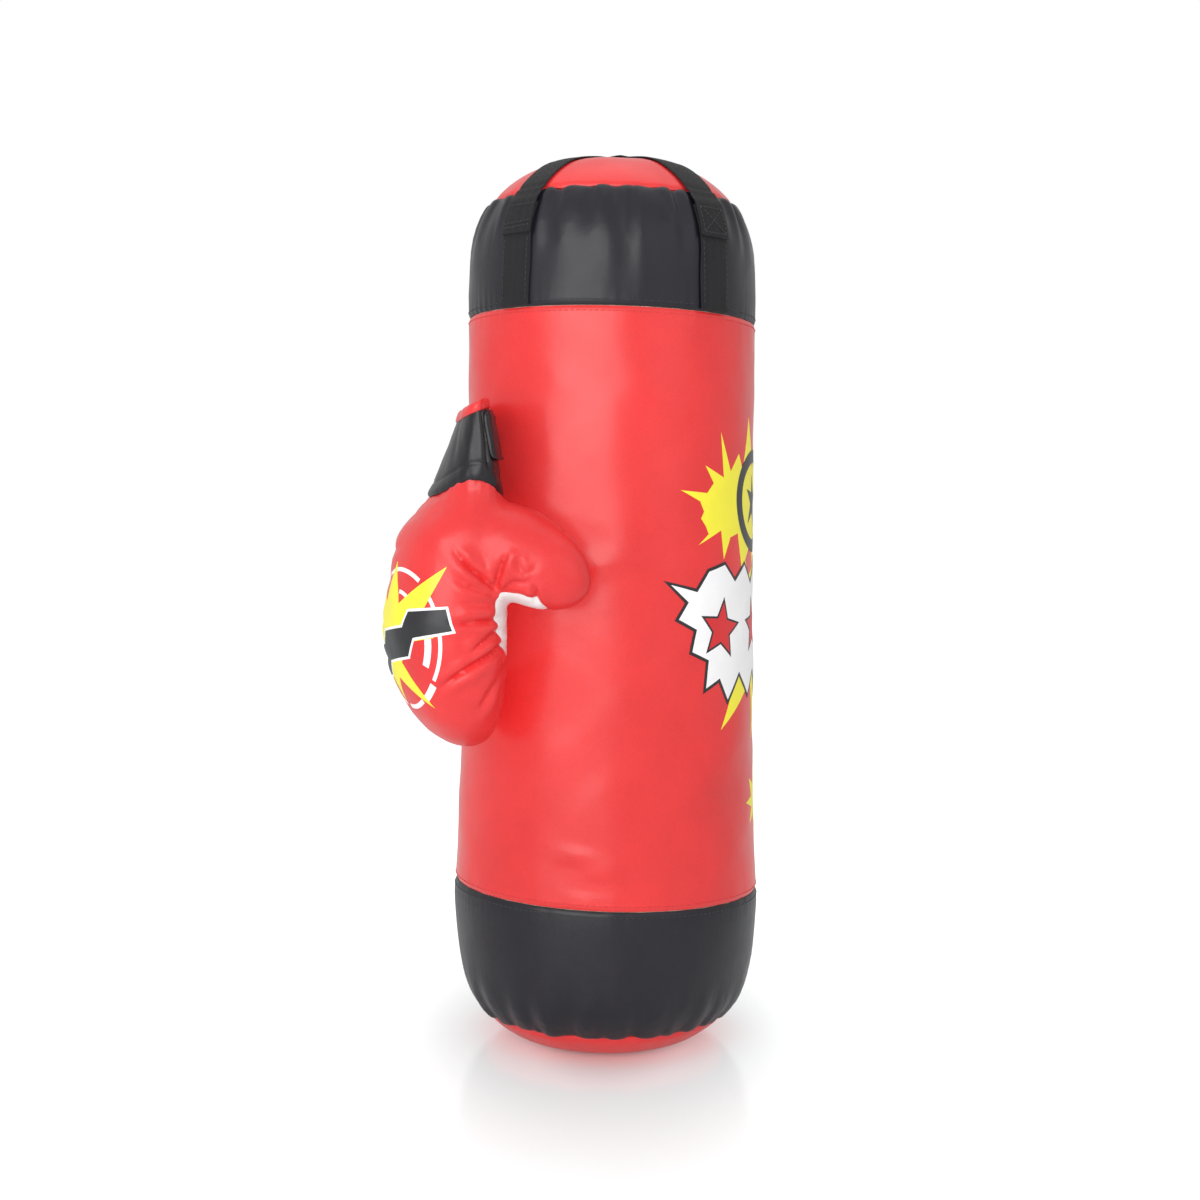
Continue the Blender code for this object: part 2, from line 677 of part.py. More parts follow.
def hand_loft(name, inset, top, collection=CUTTERS, low_inset=None, wrist_inset=None):
    """The hand part of the mitt, made smaller all round by an inset.

    The inset may differ at the finger end and at the wrist."""
    low = FIST_LOW + (inset if low_inset is None else low_inset)
    end = inset if wrist_inset is None else wrist_inset
    rings = []
    for k in range(FIST_STEPS):
        angle = pi / 2 * (0.12 + 0.88 * k / FIST_STEPS)
        drop = cos(angle) ** (2 / FIST_POWER)
        size = sin(angle) ** (2 / FIST_POWER)
        rings.append(fist_oval(TIP_SHIFT * drop * drop, FIST_MID - drop * (FIST_MID - low),
                               (FIST_THICK - inset) * size, (FIST_WIDE - inset) * size))
    for k in range(FIST_STEPS + 1):
        q = k / FIST_STEPS
        here = inset + (end - inset) * smooth(q, 0.0, 1.0)
        shift, thick, wide = hand_section(q)
        rings.append(fist_oval(shift, FIST_MID + (FIST_TOP - FIST_MID) * q,
                               thick - here, wide - here))
    if top > FIST_TOP:
        shift, thick, wide = hand_section(1.0)
        rings.append(fist_oval(shift, top, thick - end, wide - end))
    elif top < FIST_TOP:
        rings[-1] = [(x, y, top) for x, y, z in rings[-1]]
    ob = loft(name, rings, collection=collection)
    ob.data.transform(GLOVE_PLACE)
    return ob


def blob(name, centre, axis, size, inset):
    """An ellipsoid cutter, long along axis, in world space."""
    half_long, half_side, half_up = size
    side = axis.cross(Vector((0, 0, 1))).normalized()
    up = side.cross(axis).normalized()
    bm = bmesh.new()
    bmesh.ops.create_uvsphere(bm, u_segments=14, v_segments=8, radius=1.0)
    for vert in bm.verts:
        x, y, z = vert.co
        vert.co = (centre + axis * (z * (half_long - inset)) + side * (x * (half_side - inset))
                   + up * (y * (half_up - inset)))
    return solid_from(name, bm, collection=CUTTERS)


def mitt(name, inset, top, collection=CUTTERS):
    """Hand and thumb as one solid."""
    body = hand_loft(name, inset, top, collection)
    cut(body, blob(name + "_root", ROOT_CENTRE, ROOT_AXIS, ROOT_SIZE, inset), "UNION")
    cut(body, blob(name + "_thumb", THUMB_CENTRE, THUMB_AXIS, THUMB_SIZE, inset), "UNION")
    return body


def hollow(name, inset, top):
    """The room for the hand and thumb inside the padding."""
    body = hand_loft(name, PAD_SIDE + inset, top, low_inset=PAD_TIP + inset,
                     wrist_inset=PAD_WRIST + inset)
    stall = blob(name + "_stall", STALL_CENTRE, STALL_AXIS, STALL_SIZE, inset)
    return cut(body, stall, "UNION")


def palm_window(name, grow):
    """An oval prism through the palm side of the hand."""
    centre_x, centre_y, centre_z = WINDOW_CENTRE
    bm = bmesh.new()
    bmesh.ops.create_cone(bm, cap_ends=True, segments=24, radius1=1.0, radius2=1.0, depth=1.0)
    for vert in bm.verts:
        x, y, z = vert.co
        vert.co = GLOVE_PLACE @ Vector((centre_x + z * WINDOW_DEPTH,
                                        centre_y + y * (WINDOW_HALF_Y + grow),
                                        centre_z + x * (WINDOW_HALF_Z + grow)))
    return solid_from(name, bm, collection=CUTTERS)


def copy_of(ob, name, mat):
    return add_object(name, ob.data.copy(), mat)


def glove_skin():
    """The red shell and the white palm panel that fills its window."""
    outer = mitt("cut_mitt_outer", 0.0, FIST_TOP)
    inner = mitt("cut_mitt_inner", SKIN, FIST_TOP + 0.004)
    shell = cut(copy_of(outer, "glove_outer_shell", RED), inner)
    palm = copy_of(shell, "glove_palm_panel", WHITE)
    cut(shell, palm_window("cut_palm", GAP))
    cut(palm, palm_window("cut_palm_small", 0.0), "INTERSECT")
    return [shell, palm]


def glove_padding():
    """Foam round the hand's hollow, and a separate piece in the thumb."""
    hand = hand_loft("cut_pad_hand", PAD_INSET, PAD_TOP)
    room = hollow("cut_hollow_pad", 0.0, FIST_TOP + 0.006)
    fist = cut(copy_of(hand, "glove_fist_padding", FOAM_MAT), room)
    thumb = mitt("glove_thumb_padding", PAD_INSET, PAD_TOP, MODEL)
    thumb.data.materials.append(FOAM_MAT)
    cut(thumb, hand_loft("cut_hand_clear", PAD_INSET - 0.0004, FIST_TOP + 0.004))
    cut(thumb, room)
    keep_largest_body(thumb)
    return [fist, thumb]


def glove_lining():
    outside = hollow("glove_lining_tmp", LINING_GAP, FIST_TOP - 0.0010)
    cut(outside, hollow("cut_hollow_hand", LINING_GAP + LINING_THICK, FIST_TOP + 0.006))
    lining = copy_of(outside, "glove_lining", LINING)
    bpy.data.objects.remove(outside, do_unlink=True)
    return lining


# ------------------------------------------------------------------ the glove: cuff
CUFF_WALL = 0.0018
CUFF_LOW, CUFF_TOP = FIST_TOP + GAP, 0.1340
CUFF_STEPS = 6
CUFF_POWER = 2.1                        # squareness of the cuff's ovals
RIM_THICK, RIM_WIDE = 0.0085, 0.0320    # half sizes at the rim
RIM_SHIFT, RIM_TURN, RIM_TILT = 0.0042, radians(14), 0.42
BORE_OVERRUN = 0.003
BINDING_R, BINDING_INSET, BINDING_RISE = 0.0014, 0.0010, 0.0019

# sheets on the cuff's palm side, inside to outside:
# name, start and end angle (degrees), start and end along the cuff (seam 0, rim 1),
# lift off the cuff, thickness, material
CUFF_PATCHES = [
    ("glove_loop_tape", (-58, -8), (0.36, 0.80), 0.0006, 0.0007, TAPE),
    ("glove_hook_tape", (-56, -9), (0.37, 0.79), 0.0018, 0.0007, TAPE),
    ("glove_cuff_flap", (-72, -6), (0.30, 0.86), 0.0030, 0.0014, BLACK),
]


def cuff_point(angle, s, grow):
    """A point on the cuff, s from seam 0 to rim 1, grown outwards by grow."""
    shift, thick, wide = hand_section(1.0)
    thick += (RIM_THICK - thick) * s ** 0.9
    wide += (RIM_WIDE - wide) * s
    z = CUFF_LOW + (CUFF_TOP - FIST_TOP - GAP) * s
    return oval_point(angle, shift + RIM_SHIFT * s, z, thick + grow, wide + grow, CUFF_POWER,
                      turn=-RIM_TURN * s, tilt=RIM_TILT * s)


def cuff_ring(s, grow):
    return [cuff_point(angle, s, grow) for angle in ring_angles()]


def glove_cuff():
    """A flattened tube from the wrist seam to the rim."""
    cuff = loft("glove_cuff", [cuff_ring(k / CUFF_STEPS, 0.0) for k in range(CUFF_STEPS + 1)],
                BLACK)
    bore = [cuff_ring(k / CUFF_STEPS, -CUFF_WALL) for k in range(CUFF_STEPS + 1)]
    below = [(x, y, z - BORE_OVERRUN) for x, y, z in bore[0]]
    above = [(x, y, z + BORE_OVERRUN) for x, y, z in bore[-1]]
    cut(cuff, loft("cut_cuff_bore", [below] + bore + [above], collection=CUTTERS))
    cuff.matrix_world = GLOVE_PLACE
    return cuff


def cuff_binding():
    """Soft piping round the rim."""
    path = [Vector(point) + Vector((0, 0, BINDING_RISE))
            for point in cuff_ring(1.0, -BINDING_INSET)]
    return wire("glove_cuff_binding", path, BINDING_R, resolution=1, closed=True, mat=RED,
                place=GLOVE_PLACE)


def cuff_patch(name, angles, span, lift, thickness, mat):
    start, end = radians(angles[0]), radians(angles[1])
    bm = bmesh.new()
    bmesh.ops.create_grid(bm, x_segments=7, y_segments=4, size=1.0)
    for vert in bm.verts:
        angle = start + (end - start) * (vert.co.x + 1) / 2
        s = span[0] + (span[1] - span[0]) * (vert.co.y + 1) / 2
        vert.co = cuff_point(angle, s, lift)
    return thick_sheet(name, bm, Vector((-0.05, 0.0, 0.11)), thickness, mat, GLOVE_PLACE)


def hang_on_frame(ob):
    """Parent a glove piece to the glove's frame, its place unchanged."""
    bpy.context.view_layer.update()
    world = ob.matrix_world.copy()
    ob.parent = glove_frame
    ob.matrix_parent_inverse = glove_frame.matrix_world.inverted()
    ob.matrix_world = world


glove_pieces = glove_skin() + glove_padding() + [glove_lining(), glove_cuff(), cuff_binding()]
glove_pieces += [cuff_patch(*patch) for patch in CUFF_PATCHES]
for piece in glove_pieces:
    hang_on_frame(piece)

# --------------------------------------------------------------------- shading
for ob in MODEL.objects:
    if ob.type == "MESH":
        ob.data.shade_smooth()
        ob.data.set_sharp_from_angle(angle=radians(40))
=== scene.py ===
# A stuffed red and black punch bag with a boxing glove against it. Metres, +Z up.
# The bag stands on z = 0 round the Z axis. Its front faces -Y; the lap seam and the zip are
# at the back, +Y. The glove is at the front left (-X, -Y) with its cuff up.
import math

import bmesh
import bpy
import numpy as np
from mathutils import Matrix, Vector
from mathutils.bvhtree import BVHTree
from mathutils.geometry import delaunay_2d_cdt
from mathutils.kdtree import KDTree


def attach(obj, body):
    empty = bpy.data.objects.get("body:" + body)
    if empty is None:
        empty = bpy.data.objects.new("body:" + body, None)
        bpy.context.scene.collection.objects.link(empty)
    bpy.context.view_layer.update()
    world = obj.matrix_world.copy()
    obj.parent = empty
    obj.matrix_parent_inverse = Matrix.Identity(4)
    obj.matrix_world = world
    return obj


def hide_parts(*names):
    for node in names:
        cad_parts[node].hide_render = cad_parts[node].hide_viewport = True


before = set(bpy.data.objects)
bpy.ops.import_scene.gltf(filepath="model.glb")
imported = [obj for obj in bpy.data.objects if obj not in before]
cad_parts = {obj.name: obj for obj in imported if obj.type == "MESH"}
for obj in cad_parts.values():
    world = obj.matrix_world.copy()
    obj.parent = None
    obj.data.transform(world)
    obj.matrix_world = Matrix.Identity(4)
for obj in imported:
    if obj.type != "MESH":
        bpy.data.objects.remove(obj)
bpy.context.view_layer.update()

SCENE = bpy.context.scene
MM = 0.001
TAU = 2 * math.pi
deg = math.radians


# ---------------------------------------------------------------------------- materials
class Material:
    """Node tree round one Principled BSDF; most methods add a node and return its output."""

    def __init__(self, name):
        self.data = bpy.data.materials.new(name)
        self.data.use_nodes = True
        self.tree = self.data.node_tree
        self.shader = self.tree.nodes["Principled BSDF"]
        self.left = 0

    def feed(self, socket, value):
        """Link a node's output to the socket, or write a number or a colour in it."""
        if isinstance(value, bpy.types.NodeSocket):
            self.tree.links.new(value, socket)
        elif socket.type == "RGBA":
            socket.default_value = (*value, 1.0)
        else:
            socket.default_value = value

    def add(self, kind, inputs, out=0, **props):
        node = self.tree.nodes.new("ShaderNode" + kind)
        self.left -= 40
        node.location = (self.left, 0)
        for key, value in props.items():
            setattr(node, key, value)
        for key, value in inputs.items():
            self.feed(node.inputs[key], value)
        return node.outputs[out]

    def math(self, operation, *values):
        return self.add("Math", dict(enumerate(values)), operation=operation)

    def plus(self, first, second):
        return self.math("ADD", first, second)

    def times(self, value, weight):
        return self.math("MULTIPLY", value, weight)

    def wave(self, value, period):
        return self.math("SINE", self.times(value, TAU / period))

    def coords(self, kind="Object"):
        return self.add("TexCoord", {}, out=kind)

    def axes(self, vector):
        return self.add("SeparateXYZ", {0: vector}).node.outputs

    def mapped(self, vector, scale):
        return self.add("Mapping", {"Vector": vector, "Scale": scale})

    def noise(self, vector, scale, detail=3.0, rough=0.5):
        return self.add("TexNoise", {"Vector": vector, "Scale": scale, "Detail": detail,
                                     "Roughness": rough})

    def voronoi(self, vector, scale):
        return self.add("TexVoronoi", {"Vector": vector, "Scale": scale}, out="Distance")

    def ramp(self, factor, *stops):
        """Colour ramp of two stops (position, colour); a single number is a grey."""
        output = self.add("ValToRGB", {0: factor})
        for element, (position, colour) in zip(output.node.color_ramp.elements, stops):
            element.position = position
            element.color = (*(colour if isinstance(colour, tuple) else (colour,) * 3), 1.0)
        return output

    def mix(self, factor, first, second, blend="MIX"):
        return self.add("Mix", {0: factor, 6: first, 7: second}, out=2, data_type="RGBA",
                        blend_type=blend)

    def bump(self, height, distance, strength, normal=None):
        inputs = {"Height": height, "Distance": distance, "Strength": strength}
        if normal is not None:
            inputs["Normal"] = normal
        return self.add("Bump", inputs)

    def finish(self, **inputs):
        """Set inputs of the shader, named with _ for a space, and return the material."""
        for key, value in inputs.items():
            self.feed(self.shader.inputs[key.replace("_", " ")], value)
        return self.data


def tint(colour, gain, lift=0.0):
    return tuple(min(1.0, channel * gain + lift) for channel in colour)


def leatherette(name, colour, rough, grain, vary=0.10, coat=0.15, wear=None):
    """Coated cloth with an embossed grain: cells about 0.8 mm wide with finer pores."""
    mat = Material(name)
    place = mat.coords()
    warp = mat.noise(place, scale=220.0, detail=2.0)
    cells = mat.voronoi(place, scale=1150.0)
    fine = mat.noise(place, scale=2600.0)
    height = mat.plus(mat.times(cells, weight=0.75), mat.times(fine, weight=0.35))
    height = mat.plus(height, mat.times(warp, weight=0.35))
    grained = mat.bump(height, distance=0.00007 * grain, strength=0.55)
    soft = mat.noise(place, scale=26.0, detail=4.0, rough=0.55)
    normal = mat.bump(soft, distance=0.0011, strength=0.35, normal=grained)
    cloud = mat.noise(place, scale=9.0, detail=5.0, rough=0.6)
    base = mat.ramp(cloud, (0.32, tint(colour, 1 - vary)), (0.68, tint(colour, 1 + vary, 0.004)))
    pores = mat.ramp(cells, (0.05, 0.86), (0.45, 1))
    base = mat.mix(1.0, base, pores, blend="MULTIPLY")
    if wear is not None:
        edge = mat.add("NewGeometry", {}, out="Pointiness")
        patches = mat.noise(place, scale=60.0)
        mask = mat.math("MULTIPLY", mat.ramp(edge, (0.52, 0), (0.60, 1)),
                        mat.ramp(patches, (0.45, 0), (0.70, 1)))
        base = mat.mix(mat.times(mask, weight=0.35), base, wear)
    gloss = mat.ramp(mat.noise(place, scale=34.0), (0.30, rough * 0.88), (0.70, rough * 1.14))
    return mat.finish(Base_Color=base, Roughness=gloss, Normal=normal, Coat_Weight=coat,
                      Coat_Roughness=0.22, Specular_IOR_Level=0.36, Coat_Normal=normal)


def webbing(name, colour, pitch):
    """Woven polypropylene tape. UV is in metres: u across, v along."""
    mat = Material(name)
    axes = mat.axes(mat.coords("UV"))
    across, along = axes[0], axes[1]
    zigzag = mat.math("PINGPONG", across, pitch * 2.6)
    twill = mat.wave(mat.plus(along, mat.times(zigzag, weight=0.9)), period=pitch)
    ribs = mat.wave(across, period=pitch * 0.62)
    weave = mat.plus(mat.times(twill, weight=0.5), mat.times(ribs, weight=0.35))
    fuzz = mat.noise(mat.coords(), scale=3000.0, detail=2.0)
    normal = mat.bump(mat.plus(weave, mat.times(fuzz, weight=0.5)), distance=0.00016,
                      strength=0.9)
    centred = mat.math("MULTIPLY_ADD", weave, 0.5, 0.5)     # from -1..1 to 0..1
    shade = mat.ramp(centred, (0.15, tint(colour, 0.45)), (0.85, tint(colour, 1.5)))
    cloud = mat.ramp(mat.noise(mat.coords(), scale=40.0), (0.3, 0.85), (0.7, 1.12))
    return mat.finish(Base_Color=mat.mix(1.0, shade, cloud, blend="MULTIPLY"), Roughness=0.72,
                      Normal=normal, Sheen_Weight=0.06, Sheen_Roughness=0.4,
                      Specular_IOR_Level=0.30)


def cloth(name, colour, pitch):
    """Plain weave, its threads a pitch apart."""
    mat = Material(name)
    place = mat.coords()
    axes = mat.axes(place)
    weft = mat.wave(mat.plus(axes[0], axes[1]), period=pitch)
    warp = mat.wave(axes[2], period=pitch)
    fuzz = mat.noise(place, scale=1800.0)
    normal = mat.bump(mat.plus(mat.math("MULTIPLY", weft, warp), fuzz), distance=0.00014,
                      strength=0.8)
    base = mat.ramp(mat.noise(place, scale=300.0, detail=5.0, rough=0.65),
                    (0.3, tint(colour, 0.75)), (0.7, tint(colour, 1.2)))
    return mat.finish(Base_Color=base, Roughness=0.9, Normal=normal, Sheen_Weight=0.3,
                      Sheen_Roughness=0.5)


def foam(name, colour, aged):
    mat = Material(name)
    place = mat.coords()
    cells = mat.voronoi(place, scale=900.0)
    base = mat.ramp(cells, (0.0, tint(colour, 0.55)), (0.5, colour))
    cloud = mat.ramp(mat.noise(place, scale=40.0, detail=4.0), (0.3, aged), (0.7, colour))
    return mat.finish(Base_Color=mat.mix(0.25, base, cloud), Roughness=0.95,
                      Normal=mat.bump(cells, distance=0.0006, strength=0.9))


def metal(name, colour, rough):
    """Metal brushed across Z."""
    mat = Material(name)
    place = mat.coords()
    brushed = mat.noise(mat.mapped(place, scale=(1.0, 1.0, 9.0)), scale=700.0)
    gloss = mat.ramp(mat.noise(place, scale=350.0, detail=4.0),
                     (0.3, rough * 0.7), (0.75, rough * 1.6))
    base = mat.ramp(mat.noise(place, scale=160.0), (0.3, tint(colour, 0.86)), (0.7, colour))
    return mat.finish(Base_Color=base, Metallic=1.0, Roughness=gloss,
                      Normal=mat.bump(brushed, distance=0.00002, strength=0.5))


def plastic(name, colour, rough):
    mat = Material(name)
    place = mat.coords()
    normal = mat.bump(mat.noise(place, scale=1500.0), distance=0.00004, strength=0.6)
    base = mat.ramp(mat.noise(place, scale=200.0),
                    (0.3, tint(colour, 0.8)), (0.7, tint(colour, 1.2)))
    return mat.finish(Base_Color=base, Roughness=rough, Normal=normal)


def thread(name, colour):
    mat = Material(name)
    twist = mat.noise(mat.mapped(mat.coords(), scale=(1.0, 1.0, 1.0)), scale=2600.0)
    base = mat.ramp(twist, (0.3, tint(colour, 0.6)), (0.7, tint(colour, 1.3, 0.01)))
    return mat.finish(Base_Color=base, Roughness=0.60, Sheen_Weight=0.06,
                      Normal=mat.bump(twist, distance=0.00008, strength=0.8))


def ink(name, colour):
    """Screen-printed ink on leatherette: the grain shows through."""
    mat = Material(name)
    place = mat.coords()
    cells = mat.voronoi(place, scale=1150.0)
    grain = mat.plus(mat.times(cells, weight=0.75), mat.noise(place, scale=2600.0))
    base = mat.ramp(mat.noise(place, scale=120.0, detail=4.0),
                    (0.3, tint(colour, 0.975)), (0.7, tint(colour, 1.01)))
    return mat.finish(Base_Color=base, Roughness=0.40, Coat_Weight=0.15, Coat_Roughness=0.4,
                      Normal=mat.bump(grain, distance=0.00005, strength=0.5))


BLACK_WEAR = (0.05, 0.05, 0.052)
RED = leatherette("red_leatherette", (0.780, 0.030, 0.031), rough=0.33, grain=1.0, coat=0.32,
                  wear=(0.84, 0.14, 0.13))
RED_GLOVE = leatherette("red_leatherette_glove", (0.78, 0.034, 0.036), rough=0.34, grain=0.9,
                        wear=(0.84, 0.15, 0.14))
BLACK = leatherette("black_leatherette", (0.0072, 0.0068, 0.0125), rough=0.40, grain=1.1,
                    wear=BLACK_WEAR)
BLACK_GLOVE = leatherette("black_leatherette_glove", (0.0068, 0.0066, 0.0095), rough=0.38,
                          grain=1.1, wear=BLACK_WEAR)
WHITE = leatherette("white_leatherette", (0.84, 0.80, 0.80), rough=0.42, grain=0.8, vary=0.03)
WEB = webbing("black_webbing", (0.0120, 0.0115, 0.0135), pitch=0.0011)
TAPE = cloth("zip_tape_cloth", (0.020, 0.020, 0.022), pitch=0.0006)
LINING = cloth("lining_knit", (0.060, 0.058, 0.062), pitch=0.0012)
TEXTILE = cloth("shredded_textile", (0.40, 0.41, 0.44), pitch=0.0015)
FOAM = foam("foam_open_cell", (0.80, 0.74, 0.58), aged=(0.55, 0.48, 0.33))
STEEL = metal("nickel_steel", (0.64, 0.64, 0.66), rough=0.24)
COIL = plastic("nylon_coil", (0.030, 0.030, 0.032), rough=0.42)
HOOK = plastic("hook_tape_nylon", (0.018, 0.018, 0.019), rough=0.7)
THREAD = thread("black_thread", (0.020, 0.019, 0.022))
THREAD_RED = thread("red_thread", (0.74, 0.035, 0.036))
INK_YELLOW = ink("ink_yellow", (1.0, 0.90, 0.040))
INK_WHITE = ink("ink_white", (1.0, 0.985, 1.0))
INK_BLACK = ink("ink_black", (0.012, 0.012, 0.016))
INK_RED = ink("ink_red", (0.72, 0.018, 0.022))


# -------------------------------------------------------------------------- mesh helpers
def make(name, verts, faces, mat, body, node=None, uv=None, sharp=50):
    """Smooth object with its normals out; it takes the place of a frame node if one is given."""
    mesh = bpy.data.meshes.new(name)
    mesh.from_pydata(np.asarray(verts, float).tolist(), [], faces)
    mesh.validate()
    if uv is not None:
        layer = mesh.uv_layers.new(name="UVMap")
        loops = np.zeros(len(mesh.loops), np.int32)
        mesh.loops.foreach_get("vertex_index", loops)
        layer.data.foreach_set("uv", np.asarray(uv, np.float32)[loops].ravel())
    mesh.materials.append(mat)
    ob = bpy.data.objects.new(name, mesh)
    SCENE.collection.objects.link(ob)
    mesh.shade_smooth()
    mesh.set_sharp_from_angle(angle=math.radians(sharp))
    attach(ob, body)
    solid = bmesh.new()
    solid.from_mesh(mesh)
    bmesh.ops.recalc_face_normals(solid, faces=solid.faces)
    if solid.calc_volume(signed=True) < 0:
        bmesh.ops.reverse_faces(solid, faces=solid.faces)
    solid.to_mesh(mesh)
    solid.free()
    if node:
        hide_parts(node)


def grid(rows, columns):
    return np.meshgrid(rows, columns, indexing="ij")


def sheet(name, outer, inner, mat, body, node, mask=None, wrap=True, uv=None):
    """Closed sheet between two matching grids [row, column, 3].

    mask[i, j] says which cells are there; walls close every edge of the mask.
    With wrap, the last row is joined to the first."""
    rows, columns = outer.shape[:2]
    spans = rows if wrap else rows - 1
    if mask is None:
        mask = np.ones((spans, columns - 1), bool)
    count = rows * columns
    index = np.arange(count).reshape(rows, columns)
    faces = []

    def wall(start, end):
        faces.append((end, start, start + count, end + count))

    for i in range(spans):
        after = (i + 1) % rows
        for j in range(columns - 1):
            if not mask[i, j]:
                continue
            near, side = index[i, j], index[after, j]
            far, last = index[after, j + 1], index[i, j + 1]
            faces.append((near, side, far, last))
            faces.append((near + count, last + count, far + count, side + count))
            if j == 0 or not mask[i, j - 1]:
                wall(near, side)
            if j == columns - 2 or not mask[i, j + 1]:
                wall(far, last)
            if not ((wrap or i > 0) and mask[(i - 1) % spans, j]):
                wall(last, near)
            if not ((wrap or i < spans - 1) and mask[(i + 1) % spans, j]):
                wall(side, far)
    used = np.unique(np.array(faces))
    remap = -np.ones(2 * count, int)
    remap[used] = np.arange(len(used))
    verts = np.concatenate([outer.reshape(-1, 3), inner.reshape(-1, 3)])[used]
    if uv is not None:
        flat = uv.reshape(-1, 2)
        uv = np.concatenate([flat, flat])[used]
    make(name, verts, remap[np.array(faces)].tolist(), mat, body, node, uv=uv)


def tube(name, rings, mat, body, node, sharp, closed=True):
    """Tube through rings of points [ring, point, 3]; closed joins the last ring to the first."""
    index = np.arange(rings.shape[0] * rings.shape[1]).reshape(rings.shape[:2])
    near, far = (index, np.roll(index, -1, 0)) if closed else (index[:-1], index[1:])
    quads = np.stack([near, far, np.roll(far, -1, 1), np.roll(near, -1, 1)], -1)
    faces = quads.reshape(-1, 4).tolist()
    if not closed:
        faces += [index[0][::-1].tolist(), index[-1].tolist()]
    make(name, rings.reshape(-1, 3), faces, mat, body, node, sharp=sharp)


def edge_walls(faces, count):
    """Walls from the open edges of a sheet down to its copy, count vertices on."""
    half = set()
    for face in faces:
        for i in range(len(face)):
            half.add((face[i], face[(i + 1) % len(face)]))
    return [(end, start, start + count, end + count) for start, end in half
            if (end, start) not in half]


def smoothstep(value, low, high):
    ratio = np.clip((np.asarray(value, float) - low) / (high - low), 0, 1)
    return ratio * ratio * (3 - 2 * ratio)


def gauss(value, width):
    return np.exp(-0.5 * (np.asarray(value, float) / width) ** 2)


def unit(vectors):
    return vectors / np.linalg.norm(vectors, axis=-1, keepdims=True)


def safe_unit(vectors, least):
    return vectors / np.maximum(np.linalg.norm(vectors, axis=-1, keepdims=True), least)


def turn(angle, centre):
    """Signed angle from centre, within half a turn."""
    return (angle - centre + math.pi) % TAU - math.pi


def spline(points, steps, beyond=None):
    """Catmull-Rom curve through the points; beyond is the point that follows the last."""
    points = np.asarray(points, float)
    if beyond is None:
        beyond = 2 * points[-1] - points[-2]
    padded = np.vstack([2 * points[0] - points[1], points, beyond])
    curve = []
    for i in range(1, len(padded) - 2):
        before, start, end, after = padded[i - 1:i + 3]
        for along in np.arange(steps) / steps:
            curve.append(0.5 * (2 * start + (end - before) * along
                                + (2 * before - 5 * start + 4 * end - after) * along * along
                                + (3 * start - before - 3 * end + after) * along ** 3))
    return np.array(curve + [points[-1]])


# ---------------------------------------------------------------------- the bag's outline
# Stations (radius, height) from the centre of the bottom to the centre of the top.
STATIONS = np.array([
    (0.0000, 0.0000), (0.0250, 0.0000), (0.0420, 0.0000), (0.0550, 0.0003), (0.0650, 0.0052),
    (0.0757, 0.0146), (0.0868, 0.0305), (0.0927, 0.0560), (0.0952, 0.0845), (0.0948, 0.0955),
    (0.0920, 0.1600), (0.0903, 0.2500), (0.0889, 0.3500), (0.0889, 0.4442), (0.0890, 0.4620),
    (0.0872, 0.4860), (0.0824, 0.5030), (0.0755, 0.5153), (0.0640, 0.5268), (0.0480, 0.5363),
    (0.0260, 0.5407), (0.0000, 0.5417)])
STATION_STEPS = 60
OUTLINE_POINTS = 3000
BLUR = 11               # in outline points


def blur(values, odd=False):
    """Gaussian blur; past its ends the row is mirrored, or turned half round if odd."""
    reach = 4 * BLUR
    weights = np.exp(-0.5 * (np.arange(-reach, reach + 1) / BLUR) ** 2)
    weights /= weights.sum()
    before, after = values[1:reach + 1][::-1], values[-reach - 1:-1][::-1]
    if odd:
        before, after = 2 * values[0] - before, 2 * values[-1] - after
    return np.convolve(np.concatenate([before, values, after]), weights, "valid")


curve = spline(STATIONS, STATION_STEPS, beyond=STATIONS[-2] * (-1, 1))
curve_arc = np.concatenate([[0], np.cumsum(np.hypot(*np.diff(curve, axis=0).T))])
# the outline: length from the centre of the bottom, radius, height and outward normal
ARC = np.linspace(0, curve_arc[-1], OUTLINE_POINTS)
RADII = blur(np.interp(ARC, curve_arc, curve[:, 0]), odd=True)
HEIGHTS = blur(np.interp(ARC, curve_arc, curve[:, 1]))
RADII[0] = RADII[-1] = 0.0
slope_r, slope_z = np.gradient(RADII, ARC), np.gradient(HEIGHTS, ARC)
NORMAL_R = slope_z / np.hypot(slope_r, slope_z)
NORMAL_Z = -slope_r / np.hypot(slope_r, slope_z)
NORMAL_R[0], NORMAL_Z[0], NORMAL_R[-1], NORMAL_Z[-1] = 0, -1, 0, 1

# outline lengths of the seams: bottom disc, lower band, upper band, top disc
ARC_BOTTOM, ARC_LOWER, ARC_UPPER, ARC_TOP = (curve_arc[i * STATION_STEPS]
                                             for i in (5, 9, 13, 17))
ARC_END = ARC[-1]
SIDE = slice(200, 2800)         # outline points where the height grows steadily
DOME = ARC > ARC_TOP


def radius_at(arc):
    return np.interp(arc, ARC, RADII)


def height_at(arc):
    return np.interp(arc, ARC, HEIGHTS)


def normal_at(arc):
    return np.interp(arc, ARC, NORMAL_R), np.interp(arc, ARC, NORMAL_Z)


def arc_at_height(z):
    return np.interp(z, HEIGHTS[SIDE], ARC[SIDE])


def skin_radius(z):
    return np.interp(z, HEIGHTS[SIDE], RADII[SIDE])


def dome_arc(radius):
    """Outline length on the top disc at a radius."""
    return np.interp(-np.asarray(radius), -RADII[DOME], ARC[DOME])


def lean(z):
    """The panels were sewn a little askew: how much each height drops towards +X."""
    return np.interp(z, [0, 0.0146, 0.0955, 0.4442, 0.5153, 0.5417],
                     [0, -0.004, -0.0263, -0.0139, -0.004, 0])


